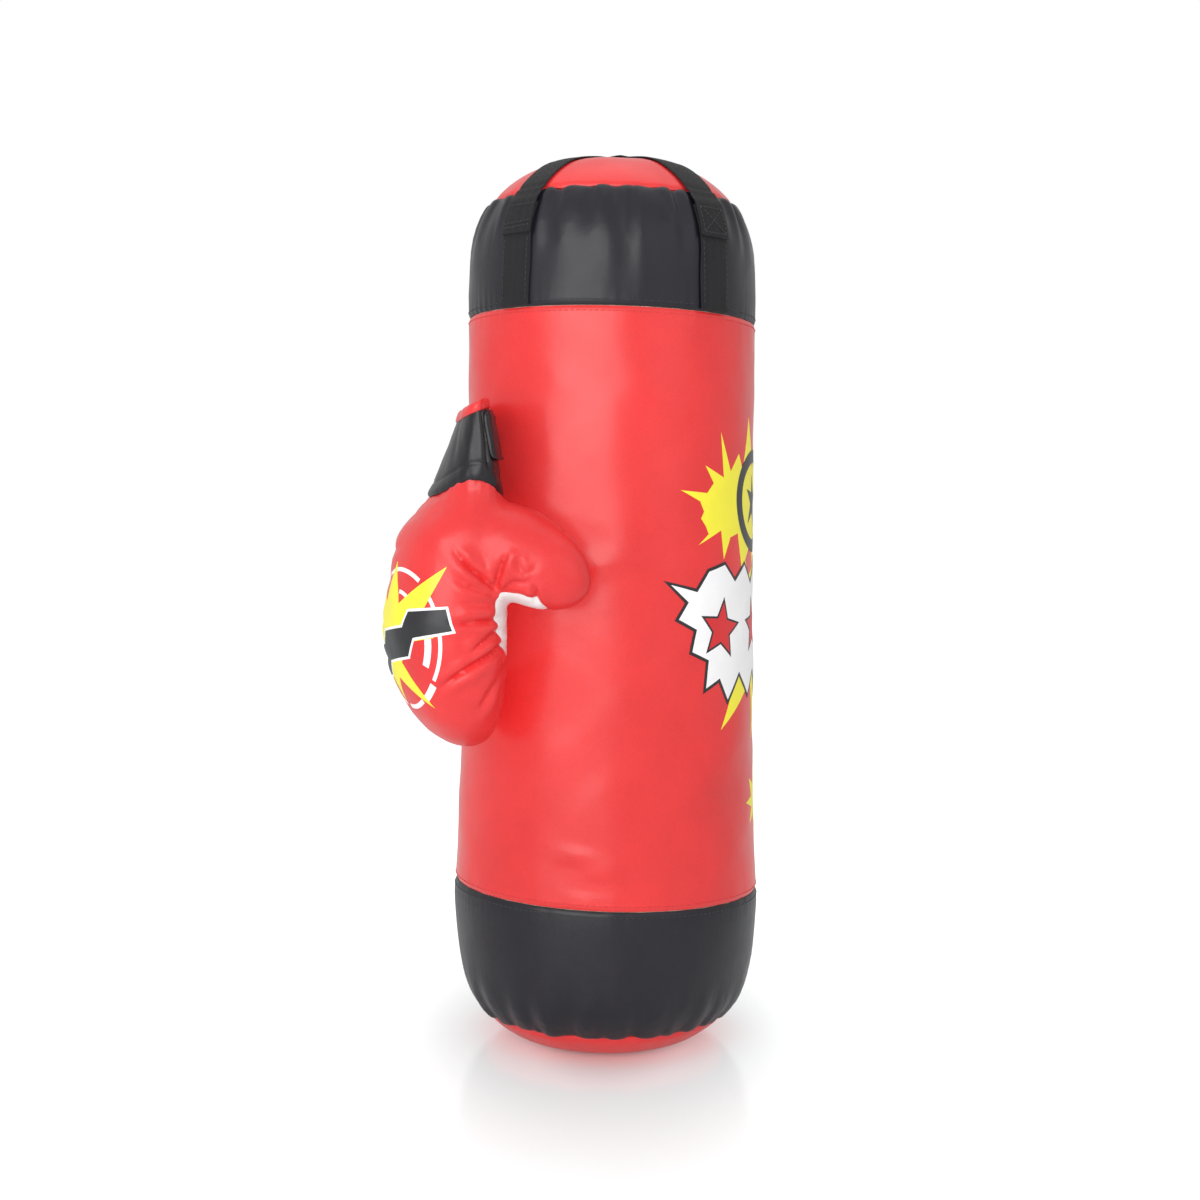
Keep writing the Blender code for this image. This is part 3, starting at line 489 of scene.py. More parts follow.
def surf(phi, arc, lift=0.0):
    """Point of the bag at azimuth phi (from -Y towards +X) and outline length arc, lifted."""
    phi, arc, lift = np.broadcast_arrays(np.asarray(phi, float), np.asarray(arc, float),
                                         np.asarray(lift, float))
    out, rise = normal_at(arc)
    radius, z = radius_at(arc) + lift * out, height_at(arc)
    x, y = radius * np.sin(phi), -radius * np.cos(phi)
    return np.stack([x, y, z + lift * rise + lean(z) * x], -1)


def waves(seed, count, turns_low, turns_high, length_low, length_high):
    """A smooth random field over azimuth and outline length, about -1..1."""
    rng = np.random.default_rng(seed)
    terms = [(int(rng.integers(turns_low, turns_high + 1)), rng.uniform(length_low, length_high),
              rng.uniform(0, TAU), rng.uniform(0, TAU)) for _ in range(count)]

    def field(phi, arc):
        total = 0.0
        for turns, length, phase, shift in terms:
            total = total + np.cos(turns * phi + phase) * np.cos(TAU * arc / length + shift)
        return total / math.sqrt(count)
    return field


# straps over the top: azimuths of the two at the front, half width and thickness
AZ_LEFT, AZ_RIGHT = deg(-39.5), deg(42.0)
STRAP_AZIMUTHS = [AZ_LEFT, AZ_RIGHT, AZ_LEFT + math.pi, AZ_RIGHT + math.pi]
STRAP_HALF = 0.0110
WEB_THICK = 0.0013


def strap_mask(phi, arc, extra=0.0):
    """1 under a strap, 0 away from it (upper end only)."""
    radius = np.maximum(radius_at(arc), 1e-4)
    best = np.zeros(np.broadcast(phi, arc).shape)
    for azimuth in STRAP_AZIMUTHS:
        away = turn(phi, azimuth)
        lateral = np.abs(np.sin(away)) * radius
        under = 1 - smoothstep(lateral, STRAP_HALF - 0.002 + extra, STRAP_HALF + 0.004 + extra)
        best = np.maximum(best, under * (np.cos(away) > 0))
    return best


# --------------------------------------------------------- gathers by cloth simulation
CLOTH_SCALE = 10.0      # the cloth is simulated ten times life size


def run_cloth(name, start, rest, faces, sewn, stretch, shear, bend, damping, pressure, frames):
    """Blow up a cloth cut to the rest shape, from the start shape; returns its points.

    sewn is a list of (vertex indices, weight); damping is for stretch, shear and bend."""
    mesh = bpy.data.meshes.new(name)
    mesh.from_pydata((start * CLOTH_SCALE).tolist(), [], faces.tolist())
    ob = bpy.data.objects.new(name, mesh)
    SCENE.collection.objects.link(ob)
    ob.shape_key_add(name="Basis")
    key = ob.shape_key_add(name="cut")
    key.data.foreach_set("co", (rest * CLOTH_SCALE).astype(np.float32).ravel())
    key.value = 0.0
    group = ob.vertex_groups.new(name="sewn")
    for indices, weight in sewn:
        group.add(indices, weight, "REPLACE")
    mod = ob.modifiers.new("cloth", "CLOTH")
    cloth_set = mod.settings
    cloth_set.quality = 6
    cloth_set.mass = 0.25
    cloth_set.tension_stiffness = cloth_set.compression_stiffness = stretch
    cloth_set.shear_stiffness = shear
    cloth_set.bending_stiffness = bend
    cloth_set.tension_damping = cloth_set.compression_damping = damping[0]
    cloth_set.shear_damping = damping[1]
    cloth_set.bending_damping = damping[2]
    cloth_set.air_damping = 3.0
    cloth_set.vertex_group_mass = "sewn"
    cloth_set.rest_shape_key = key
    cloth_set.use_pressure = True
    cloth_set.uniform_pressure_force = pressure
    cloth_set.effector_weights.gravity = 0.0
    mod.collision_settings.use_collision = False
    mod.collision_settings.use_self_collision = False
    mod.point_cache.frame_start = 1
    mod.point_cache.frame_end = frames
    for i in range(1, frames + 1):
        SCENE.frame_set(i)
    blown = ob.evaluated_get(bpy.context.evaluated_depsgraph_get())
    points = np.zeros(len(blown.data.vertices) * 3, np.float32)
    blown.data.vertices.foreach_get("co", points)
    SCENE.frame_set(1)
    bpy.data.objects.remove(ob, do_unlink=True)
    return points.reshape(-1, 3).astype(float) / CLOTH_SCALE


# the simulated bands' grid: azimuths, and rows from the body seam (0) to the disc seam (1)
GATHER_AZ = np.linspace(-math.pi, math.pi, 224, endpoint=False)
GATHER_ROWS = np.linspace(0, 1, 30)
FOLD_WIDTH = deg(3.2)
FOLD_SPACING = deg(9.0)


def fold_seed(places, seed, extra):
    """Valleys where the cloth is gathered: the given ones, and seeded others between them."""
    rng = np.random.default_rng(seed)
    spots = list(places)
    tries = 0
    while len(spots) < len(places) + extra and tries < 4000:
        tries += 1
        azimuth = rng.uniform(-math.pi, math.pi)
        if all(abs(turn(azimuth, spot)) > FOLD_SPACING for spot in spots):
            spots.append(azimuth)
    total = np.zeros_like(GATHER_AZ)
    for spot in spots:
        width = FOLD_WIDTH * rng.uniform(0.7, 1.4)
        total -= gauss(turn(GATHER_AZ, spot), width) * rng.uniform(0.6, 1.25)
    return total - total.mean()


def gather_sim(name, flat, gathered, places, seed, extra, excess):
    """Cloth simulation of a band: a flat tube at the body seam gathered into the end disc.

    flat and gathered are outline lengths. Returns the folds [azimuth, row] and their seeds."""
    phi, along = grid(GATHER_AZ, GATHER_ROWS)
    bumps = fold_seed(places, seed, extra)
    arc = flat + (gathered - flat) * along
    start = surf(phi, arc, bumps[:, None] * 0.0016 * smoothstep(along, 0.15, 0.95))
    wide, narrow = float(radius_at(flat)), float(radius_at(gathered))
    rest_radius = narrow + (wide - narrow) * excess
    rest = np.stack([rest_radius * np.sin(phi), -rest_radius * np.cos(phi),
                     float(height_at(flat)) + (gathered - flat) * along], -1)
    index = np.arange(phi.size).reshape(phi.shape)
    after = np.roll(index, -1, 0)
    quads = np.stack([index[:, :-1], after[:, :-1], after[:, 1:], index[:, 1:]], -1)
    quads = quads.reshape(-1, 4)
    if gathered < flat:
        quads = quads[:, ::-1]
    sewn = [([int(v) for row in (0, 1, -1) for v in index[:, row]], 1.0)]
    points = run_cloth(name, start.reshape(-1, 3), rest.reshape(-1, 3), quads, sewn,
                       stretch=25, shear=12, bend=6.0, damping=(12, 8, 2.0), pressure=6.0,
                       frames=22).reshape(*phi.shape, 3)
    radius = np.hypot(points[..., 0], points[..., 1])
    height = points[..., 2] - lean(height_at(arc)) * points[..., 0]
    out, rise = normal_at(arc)
    lift = (radius - radius.mean(0, keepdims=True)) * out \
        + (height - height.mean(0, keepdims=True)) * rise
    limit = 0.0042
    return limit * np.tanh(lift / limit), bumps


def round_index(phi):
    """Columns of the gather grid on either side of phi, and the share of the second."""
    place = (np.asarray(phi) + math.pi) / TAU * len(GATHER_AZ)
    column = np.floor(place).astype(int)
    return column % len(GATHER_AZ), (column + 1) % len(GATHER_AZ), place - column


# ------------------------------------------------------------------- the skin's relief
soft_a = waves(21, 7, 1, 5, 0.16, 0.42)
soft_b = waves(22, 12, 3, 11, 0.05, 0.14)
soft_c = waves(23, 16, 8, 26, 0.022, 0.055)
pucker_upper = waves(31, 18, 46, 96, 0.3, 0.9)
pucker_lower = waves(33, 18, 30, 70, 0.3, 0.9)
DENTS = [  # azimuth in degrees, height, size round, size up, depth (negative is in)
    (-8, 0.3080, 0.009, 0.006, -0.0013), (-4, 0.2955, 0.011, 0.0045, 0.0015),
    (-14, 0.1180, 0.008, 0.005, -0.0013), (-7, 0.1085, 0.010, 0.0040, -0.0013),
    (-10, 0.1260, 0.009, 0.004, 0.0014), (-1, 0.1180, 0.010, 0.005, 0.0014),
    (9, 0.1120, 0.009, 0.004, -0.0012), (-20, 0.2000, 0.020, 0.016, -0.0005),
    (18, 0.1720, 0.018, 0.014, -0.0004), (-1, 0.4130, 0.014, 0.012, -0.0005),
    (24, 0.3600, 0.020, 0.026, -0.0005), (40, 0.2400, 0.024, 0.030, -0.0006),
    (-32, 0.4000, 0.018, 0.020, -0.0005), (120, 0.3300, 0.024, 0.024, -0.0008),
    (150, 0.1800, 0.022, 0.030, -0.0009), (-150, 0.2600, 0.024, 0.022, -0.0008),
    (-110, 0.3700, 0.020, 0.020, -0.0007), (200, 0.4000, 0.018, 0.020, -0.0008),
    (95, 0.1300, 0.020, 0.016, -0.0006)]
SEAM_GAP = 0.00016
ROLL_DEPTH, ROLL_WIDTH = 0.0011, 0.0013
BAND_ROLL, DISC_ROLL = 0.0016, 0.0013       # depths at the disc seams
SKIN = 0.0012


def pucker(phi, dist, field, amount):
    """Small gathers that a row of stitches pulls into the skin beside a seam."""
    return amount * field(phi, 0.0) * np.exp(-np.abs(dist) / 0.0065)


def limit_depth(lift, depth):
    """Ease hollows off so that none goes deeper than depth."""
    return np.where(lift < 0, -depth * np.tanh(-lift / depth), lift)


def roll(dist, depth=ROLL_DEPTH):
    """How far a panel's edge turns in at its seam."""
    return -depth * np.exp(-(np.maximum(dist, 0) / ROLL_WIDTH) ** 1.3)


def fold_table(places, seed, extra):
    """Folds that the gathering leaves: azimuth, slant, length, depth and half width."""
    rng = np.random.default_rng(seed)
    spots = [(place, 1.0) for place in places]
    spots += [(place, 0.7) for place in rng.uniform(-math.pi, math.pi, extra)]
    return [(place, rng.uniform(-0.10, 0.10), rng.uniform(0.016, 0.040) * (0.6 + 0.4 * size),
             size * rng.uniform(0.0009, 0.0016), rng.uniform(0.0015, 0.0024))
            for place, size in spots]


def folds(phi, away, radius, table):
    """Narrow valleys with a soft ridge on each side, deepest a little off the gathered seam."""
    lift = 0.0
    for place, slant, length, depth, half in table:
        x = turn(phi + slant * away / 0.05, place) * radius
        fade = np.exp(-(np.maximum(away, 0) / length) ** 2) \
            * (0.55 + 0.45 * smoothstep(away, 0, 0.006))
        width = half * (1 + away / 0.03)
        ridges = 0.42 * gauss(np.abs(x) - 2.3 * width, 1.3 * width)
        lift = lift + depth * fade * (ridges - gauss(x, width))
    return limit_depth(lift, 0.0013)


class Band:
    """A gathered band with the end disc beyond it.

    body, disc and pin are the outline lengths of its seam to the body, of its seam to the disc
    and of the disc's inner edge. scallop_depth is how far the gathers shift the disc seam."""

    def __init__(self, name, body, disc, pin, places, seed, extra, excess, scallop_depth,
                 ripple, fold_rows, fold_gain):
        self.body, self.disc, self.pin = body, disc, pin
        self.sign = 1 if disc > body else -1
        self.scallop_depth, self.ripple = scallop_depth, ripple
        self.fold_rows, self.fold_gain = fold_rows, fold_gain
        self.gather, self.bumps = gather_sim(name, body, disc, places, seed, extra, excess)

    def straps(self, phi, arc, extra=0.0):
        return strap_mask(phi, arc, extra) if self.sign > 0 else 0.0

    def bumps_at(self, phi):
        left, right, share = round_index(phi)
        return self.bumps[left] * (1 - share) + self.bumps[right] * share

    def gather_at(self, phi, along):
        left, right, share = round_index(phi)
        place = np.clip(np.asarray(along), 0, 1) * (len(GATHER_ROWS) - 1)
        row = np.minimum(np.floor(place).astype(int), len(GATHER_ROWS) - 2)
        part, field = place - row, self.gather
        near = field[left, row] * (1 - share) + field[right, row] * share
        far = field[left, row + 1] * (1 - share) + field[right, row + 1] * share
        return near * (1 - part) + far * part

    def position(self, arc):
        """0 at the body seam, 1 at the disc seam."""
        return (arc - self.body) / (self.disc - self.body)

    def relief(self, phi, along):
        arc = self.body + (self.disc - self.body) * along
        from_body, from_disc = self.sign * (arc - self.body), self.sign * (self.disc - arc)
        radius = radius_at(arc)
        lift = self.gather_at(phi, along) \
            * (1 - 0.85 * self.straps(phi, arc) * smoothstep(along, 0.0, 0.2))
        lift = lift - 0.0007 * self.straps(phi, arc, -0.001) * smoothstep(along, 0.3, 0.9)
        lift = lift + pucker(phi, from_body, self.ripple, 0.00020)
        lift = lift + self.fold_gain * folds(phi, from_disc, radius, self.fold_rows) \
            * (1 - 0.8 * self.straps(phi, arc, 0.002))
        lift = lift + 0.00026 * soft_a(phi, arc) + 0.00022 * soft_b(phi, arc) \
            + 0.00006 * soft_c(phi, arc)
        # the seam up the back
        x = turn(phi, math.pi) * radius
        lift = lift - 0.0008 * gauss(x, 0.0010) * smoothstep(from_body, 0.002, 0.014)
        lift = lift + 0.0006 * smoothstep(along, 0.25, 0.8)
        # the foam behind the skin stops a fold from going deeper than this
        return limit_depth(lift, 0.00100)

    def scallop(self, phi):
        return self.scallop_depth * self.bumps_at(phi) * (1 - 0.7 * self.straps(phi, self.disc))

    def panel(self, phi, along):
        """Outline length and lift of the band's cloth."""
        gap, end = self.sign * SEAM_GAP, self.disc + self.scallop(phi)
        arc = self.body + gap + (end - self.body - 2 * gap) * along
        return arc, self.relief(phi, along) + roll(self.sign * (arc - self.body)) \
            + roll(self.sign * (end - arc), BAND_ROLL)

    def disc_arc(self, phi, along):
        """Outline length on the disc, and the distance from its seam."""
        seam = self.disc + self.scallop(phi)
        start = seam + self.sign * SEAM_GAP
        arc = start + (self.pin - start) * along
        return arc, self.sign * (arc - seam)

    def seam_fold(self, phi):
        return self.gather_at(phi, 0.94)


PIN_RADIUS = 0.0012         # small round left open at each disc's centre
TOP_PLACES = [deg(a) for a in (-62, -50, -24, -11.5, 1.0, 15.3, 27, 55, 66, 80)]
LOW_PLACES = [deg(a) for a in (-58, -44, -33, -14, 12, 36, 48, 62)]
TOP_FOLDS = fold_table([a for a in TOP_PLACES if abs(a) > 0.3], 41, 24) + [
    (deg(-9), 0.05, 0.026, 0.0013, 0.0017), (deg(0.5), -0.06, 0.046, 0.0014, 0.0019),
    (deg(8.5), 0.05, 0.050, 0.0014, 0.0017), (deg(19), -0.05, 0.030, 0.0013, 0.0020)]
upper = Band("gather_top", ARC_UPPER, ARC_TOP, ARC_END - PIN_RADIUS, TOP_PLACES, seed=5,
             extra=17, excess=0.62, scallop_depth=0.00085, ripple=pucker_upper,
             fold_rows=TOP_FOLDS, fold_gain=1.0)
lower = Band("gather_low", ARC_LOWER, ARC_BOTTOM, PIN_RADIUS, LOW_PLACES, seed=9,
             extra=18, excess=0.45, scallop_depth=-0.00075, ripple=pucker_lower,
             fold_rows=fold_table(LOW_PLACES, 43, 24), fold_gain=0.85)


def main_relief(phi, arc):
    z, radius = height_at(arc), radius_at(arc)
    lift = 0.00042 * soft_a(phi, arc) + 0.00036 * soft_b(phi, arc) + 0.00013 * soft_c(phi, arc)
    for azimuth, height, size_round, size_up, depth in DENTS:
        x = turn(phi, deg(azimuth)) * radius
        lift = lift + depth * gauss(x, size_round) * gauss(z - height, size_up)
    below, above = ARC_UPPER - arc, arc - ARC_LOWER
    inland = smoothstep(above, 0, 0.03) * smoothstep(below, 0, 0.03)
    lift = lift * (0.35 + 0.65 * inland)
    lift = lift + pucker(phi, below, pucker_upper, 0.00016)
    lift = lift + pucker(phi, above, pucker_lower, 0.00018)
    # stretch folds that run out of the gathered bands
    lift = lift + 0.00022 * upper.bumps_at(phi) * np.exp(-below / 0.016)
    lift = lift + 0.00020 * lower.bumps_at(phi) * np.exp(-above / 0.016)
    # the lap seam up the back
    x = turn(phi, math.pi) * radius
    lap = smoothstep(x, -0.0085, -0.0070) * (1 - smoothstep(x, -0.0010, 0.0))
    lift = lift - 0.0009 * gauss(x, 0.0010) * inland + 0.00055 * lap
    lift = lift + 0.00025 * soft_c(0.7, arc * 0.6) * np.exp(-np.abs(x) / 0.006)
    return limit_depth(lift, 0.00095)


# --------------------------------------------------------------------- the bag's panels
ZIP_RADIUS = 0.0640
ZIP_SLOT_HALF = 0.0028
ZIP_SLOT_ANGLE = deg(28.4)


def bunched(count, edge):
    """0..1, with points drawn closer together near both ends."""
    x = np.linspace(0, 1, count)
    return x - edge * np.sin(TAU * x) / TAU


def bag_panel(name, columns, along, shape, mat, node, mask=None):
    """Panel all round the bag; shape gives outline length and lift."""
    phi, along = grid(np.linspace(-math.pi, math.pi, columns, endpoint=False), along)
    arc, lift = shape(phi, along)
    sheet(name, surf(phi, arc, lift), surf(phi, arc, lift - SKIN), mat, "bag", node,
          mask=mask(phi, arc) if mask else None)


def main_panel(phi, along):
    arc = ARC_LOWER + SEAM_GAP + (ARC_UPPER - ARC_LOWER - 2 * SEAM_GAP) * along
    return arc, main_relief(phi, arc) + roll(arc - ARC_LOWER) + roll(ARC_UPPER - arc)


def top_disc(phi, along):
    arc, dist = upper.disc_arc(phi, along)
    radius = radius_at(arc)
    near = np.exp(-dist / 0.011) * (1 - 0.7 * strap_mask(phi, arc))
    lift = 0.42 * upper.seam_fold(phi) * near
    lift = lift + (0.00030 * soft_b(phi, arc) + 0.00016 * soft_a(phi, arc)) \
        * smoothstep(radius, 0.01, 0.05)
    lift = lift - 0.0006 * strap_mask(phi, arc, -0.001) * smoothstep(radius, 0.02, 0.05)
    return arc, lift + roll(dist, DISC_ROLL)


def bottom_disc(phi, along):
    arc, dist = lower.disc_arc(phi, along)
    lift = 0.40 * lower.seam_fold(phi) * np.exp(-dist / 0.010) + 0.00020 * soft_b(phi, arc)
    lift = lift * smoothstep(height_at(arc), 0.0004, 0.006)
    return arc, lift + roll(dist, DISC_ROLL)


def zip_slot(phi, arc):
    """Mask of the top disc's cells that leaves out the zip's opening at the back."""
    middle = phi + TAU / phi.shape[0] / 2
    radius = radius_at((arc[:, :-1] + arc[:, 1:]) / 2)
    away = np.abs(turn(middle[:, :-1], math.pi))
    return ~((away < ZIP_SLOT_ANGLE) & (radius > ZIP_RADIUS - ZIP_SLOT_HALF)
             & (radius < ZIP_RADIUS + ZIP_SLOT_HALF))


bag_panel("printed_body_panel", 264, bunched(150, 0.62),
          main_panel, RED, "main_panel")
for name, band, node in (("upper_band_gathered", upper, "upper_band"),
                         ("lower_band_gathered", lower, "lower_band")):
    bag_panel(name, 420, bunched(52, 0.5), band.panel,
              BLACK, node)
top_rows = np.concatenate([np.linspace(0, 0.10, 9)[:-1], np.linspace(0.10, 0.42, 26)[:-1],
                           np.linspace(0.42, 1, 20)])
bag_panel("top_disc_domed", 300, top_rows, top_disc, RED, "top_disc",
          mask=zip_slot)
bag_panel("bottom_disc_flattened", 240, np.linspace(0, 1, 40), bottom_disc, RED,
          "bottom_disc")

# ----------------------------------------------------------------------------- webbing
# Along a strap, run is the outline distance from the crown, negative past it.
STRAP_AIR = 0.0003                      # gap under a strap
LAYER = WEB_THICK + STRAP_AIR           # rise over another strap
ARC_ANCHOR, ARC_HANG = arc_at_height(0.5050), arc_at_height(0.4870)


def ribbon(name, place, steps, length, node):
    """Strap with rounded selvedges; place(along, side, lift) gives points, along is 0..1."""
    side = np.sin(np.linspace(-1, 1, 13) * math.pi / 2) * STRAP_HALF
    along, side = grid(np.linspace(0, 1, steps), side)
    full = 0.25 + 0.75 * np.sqrt(np.clip(1 - (np.abs(side) / STRAP_HALF) ** 8, 0, 1))
    bead = 0.00012 * gauss(np.abs(side) - STRAP_HALF * 0.86, STRAP_HALF * 0.07)
    mid = WEB_THICK / 2
    sheet(name, place(along, side, mid + (mid * full + bead)),
          place(along, side, mid - mid * full), WEB, "bag", node,
          wrap=False, uv=np.stack([side, along * length], -1))


def under_relief(phi, arc):
    """Relief of whatever lies under a strap."""
    band = upper.relief(phi, np.clip(upper.position(arc), 0, 1))
    disc = top_disc(phi, np.clip((arc - ARC_TOP) / (upper.pin - ARC_TOP), 0, 1))[1]
    share = smoothstep(arc, ARC_TOP - 0.002, ARC_TOP + 0.002)
    return band * (1 - share) + disc * share


def strap_surface(azimuth, run, side, lift):
    """Point on a strap; positive run is towards the azimuth."""
    arc = ARC_END - np.abs(run)
    radius = radius_at(arc)
    share = smoothstep(radius, 0.025, 0.045)
    reach = share * np.sqrt(np.maximum(radius * radius - side * side, 0)) + (1 - share) * radius
    reach = reach * np.sign(run)
    arc = np.where(radius < 0.046, dome_arc(np.hypot(reach, side)), arc)
    along_x, along_y = math.sin(azimuth), -math.cos(azimuth)
    x, y = reach * along_x - side * along_y, reach * along_y + side * along_x
    phi = np.arctan2(x, -y)
    base = 0.0
    for shift in (-0.035, -0.0175, 0.0, 0.0175, 0.035):
        base = base + under_relief(phi + shift, arc) / 5
    base = np.maximum(base, under_relief(phi, arc) + 0.00005)
    return surf(phi, arc, base + lift)


def harness_lift(run, over):
    arc = ARC_END - np.abs(run)
    lift = STRAP_AIR + LAYER * (1 - smoothstep(arc, ARC_ANCHOR + 0.0010, ARC_ANCHOR + 0.0075))
    if over:
        lift = lift + LAYER * (1 - smoothstep(radius_at(arc), 0.0150, 0.0250))
    # drawn tight: the strap bridges the gathers at the disc seam
    return lift + 0.0004 * gauss(arc - ARC_TOP, 0.006)


def anchor(name, azimuth, node):
    """Short strap end that lies under the harness, up from the body seam."""
    low, high = ARC_END - (ARC_UPPER + 0.0009), ARC_END - ARC_ANCHOR

    def place(along, side, lift):
        wobble = 0.0004 * np.sin(along * 9 + azimuth * 3)
        return strap_surface(azimuth, low + (high - low) * along, side + wobble,
                             STRAP_AIR + lift)
    ribbon(name, place, 30, abs(high - low), node)


def harness(name, azimuth, node, over):
    """Strap right across the top."""
    reach = ARC_END - ARC_HANG

    def place(along, side, lift):
        run = reach - 2 * reach * along
        run = np.where(np.abs(run) < 1e-5, 1e-5, run)
        narrow = 1 - 0.045 * gauss(np.abs(run) - (ARC_END - ARC_TOP) + 0.004, 0.012)
        return strap_surface(azimuth, run, side * narrow, harness_lift(run, over) + lift)
    ribbon(name, place, 150, 2 * reach, node)


for corner, azimuth in (("front_left", AZ_LEFT), ("back_right", AZ_LEFT + math.pi),
                        ("front_right", AZ_RIGHT), ("back_left", AZ_RIGHT + math.pi)):
    anchor("anchor_webbing_" + corner, azimuth, "anchor_strap_" + corner)
harness("harness_webbing_lower", AZ_LEFT, "harness_strap_lower", over=False)
harness("harness_webbing_upper", AZ_RIGHT, "harness_strap_upper", over=True)


# ---------------------------------------------------------------------------- stitches
def stitches(name, rows, radius, mat, sink=0.40):
    """Thread stitches on the bag, each a small closed body arched over the cloth.

    rows: (starts, ends, normals); sink is how far the ends go in, in radii."""
    starts = np.concatenate([row[0] for row in rows])
    ends = np.concatenate([row[1] for row in rows])
    normals = np.concatenate([np.broadcast_to(row[2], row[0].shape) for row in rows])
    sides, rings = 6, 5
    span = ends - starts
    length = np.linalg.norm(span, axis=1, keepdims=True)
    direction = safe_unit(span, 1e-9)
    side = safe_unit(np.cross(normals, direction), 1e-9)
    up = np.cross(direction, side)
    verts = np.zeros((len(starts), rings, sides, 3))
    for j in range(rings):
        along = j / (rings - 1)
        arch = math.sin(math.pi * min(max(along, 0.06), 0.94))
        thick = radius * (0.45 + 0.55 * arch)
        centre = starts + direction * length * along + up * radius * (0.75 * arch - sink)
        for i in range(sides):
            angle = TAU * i / sides
            verts[:, j, i] = centre + side * thick * math.cos(angle) \
                + up * thick * 0.8 * math.sin(angle)
    one = []
    for j in range(rings - 1):
        for i in range(sides):
            near, far = j * sides, (j + 1) * sides
            after = (i + 1) % sides
            one.append((near + i, near + after, far + after, far + i))
    one.append(tuple(range(sides))[::-1])
    one.append(tuple(range((rings - 1) * sides, rings * sides)))
    faces = [tuple(stitch * rings * sides + v for v in face)
             for stitch in range(len(starts)) for face in one]
    make(name, verts.reshape(-1, 3), faces, mat, "bag", sharp=80)


def row_on(path, pitch, gap=0.22):
    """Starts and ends of stitches along a dense path [n, 3]."""
    length = np.concatenate([[0], np.cumsum(np.linalg.norm(np.diff(path, axis=0), axis=1))])
    count = max(1, int(round(length[-1] / pitch)))

    def at(place):
        return np.stack([np.interp(place / count * length[-1], length, path[:, i])
                         for i in range(3)], -1)
    return at(np.arange(count) + gap / 2), at(np.arange(count) + 1 - gap / 2)


ARC_BOX_LOW, ARC_BOX_HIGH = arc_at_height(0.4890), arc_at_height(0.5035)
BOX_HALF, LINE_HALF = 0.0085, 0.0098
BOX_PITCH, BOX_GAP = 0.0026, 0.0007


def strap_stitches(azimuth, over, start, end):
    """Stitches on a harness strap between two spots (across, outline length)."""
    def place(spot):
        run = ARC_END - spot[:, 1]
        return strap_surface(azimuth, run, spot[:, 0],
                             harness_lift(run, over) + WEB_THICK + 0.00005)

    start, end = np.array(start), np.array(end)
    count = max(1, int(round(np.linalg.norm(end - start) / BOX_PITCH)))
    margin = BOX_GAP / BOX_PITCH / 2
    first = start + (end - start) * ((np.arange(count) + margin) / count)[:, None]
    last = start + (end - start) * ((np.arange(count) + 1 - margin) / count)[:, None]
    middle = (first + last) / 2
    across, along = np.array([0.0008, 0]), np.array([0, 0.0008])
    normal = unit(np.cross(place(middle + across) - place(middle - across),
                           place(middle + along) - place(middle - along)))
    outward = ((place(middle) - np.array([0, 0, 0.45])) * normal).sum(1) > 0
    return place(first), place(last), np.where(outward[:, None], normal, -normal)


def harness_stitching():
    """A crossed box on three strap ends and plain rows across the front left one."""
    corners = [(-BOX_HALF, ARC_BOX_LOW), (BOX_HALF, ARC_BOX_LOW),
               (BOX_HALF, ARC_BOX_HIGH), (-BOX_HALF, ARC_BOX_HIGH)]
    box = [(corners[i], corners[j]) for i, j in ((0, 1), (1, 2), (2, 3), (3, 0), (0, 2), (1, 3))]
    lines = [((-LINE_HALF, ARC_BOX_LOW + rise - 0.0005), (LINE_HALF, ARC_BOX_LOW + rise + 0.0005))
             for rise in (0.0016, 0.0042)]
    lines.append(((-LINE_HALF, ARC_BOX_HIGH), (LINE_HALF, ARC_BOX_HIGH)))
    rows = [strap_stitches(azimuth, over, start, end)
            for azimuth, over, pattern in ((AZ_RIGHT, True, box), (AZ_LEFT + math.pi, False, box),
                                           (AZ_RIGHT + math.pi, True, box),
                                           (AZ_LEFT, False, lines))
            for start, end in pattern]
    stitches("harness_stitching", rows, 0.00042, THREAD, sink=0.35)


harness_stitching()

# ------------------------------------------------------------ camera frame and its chart
CAM_POS = np.array([0.0, -1.0392, 0.318])
CAM_YAW, CAM_PITCH, CAM_ROLL = -0.0054, 0.0447, 0.0107
CHART_DISTANCE = 942.153        # millimetres from the camera to the chart's plane


def turn_z(angle):
    cos, sin = math.cos(angle), math.sin(angle)
    return np.array([[cos, -sin, 0], [sin, cos, 0], [0, 0, 1]])


pitch_turn = np.array([[1, 0, 0], [0, math.cos(CAM_PITCH), -math.sin(CAM_PITCH)],
                       [0, math.sin(CAM_PITCH), math.cos(CAM_PITCH)]])
level_right, CAM_FORWARD, level_up = pitch_turn @ turn_z(CAM_YAW)
CAM_RIGHT = math.cos(CAM_ROLL) * level_right + math.sin(CAM_ROLL) * level_up
CAM_UP = -math.sin(CAM_ROLL) * level_right + math.cos(CAM_ROLL) * level_up


def to_chart(points):
    """World points as seen from the camera: millimetres right and up on the chart's plane."""
    offset = points - CAM_POS
    depth = offset @ CAM_FORWARD
    return CHART_DISTANCE * np.stack([offset @ CAM_RIGHT / depth, offset @ CAM_UP / depth], -1)


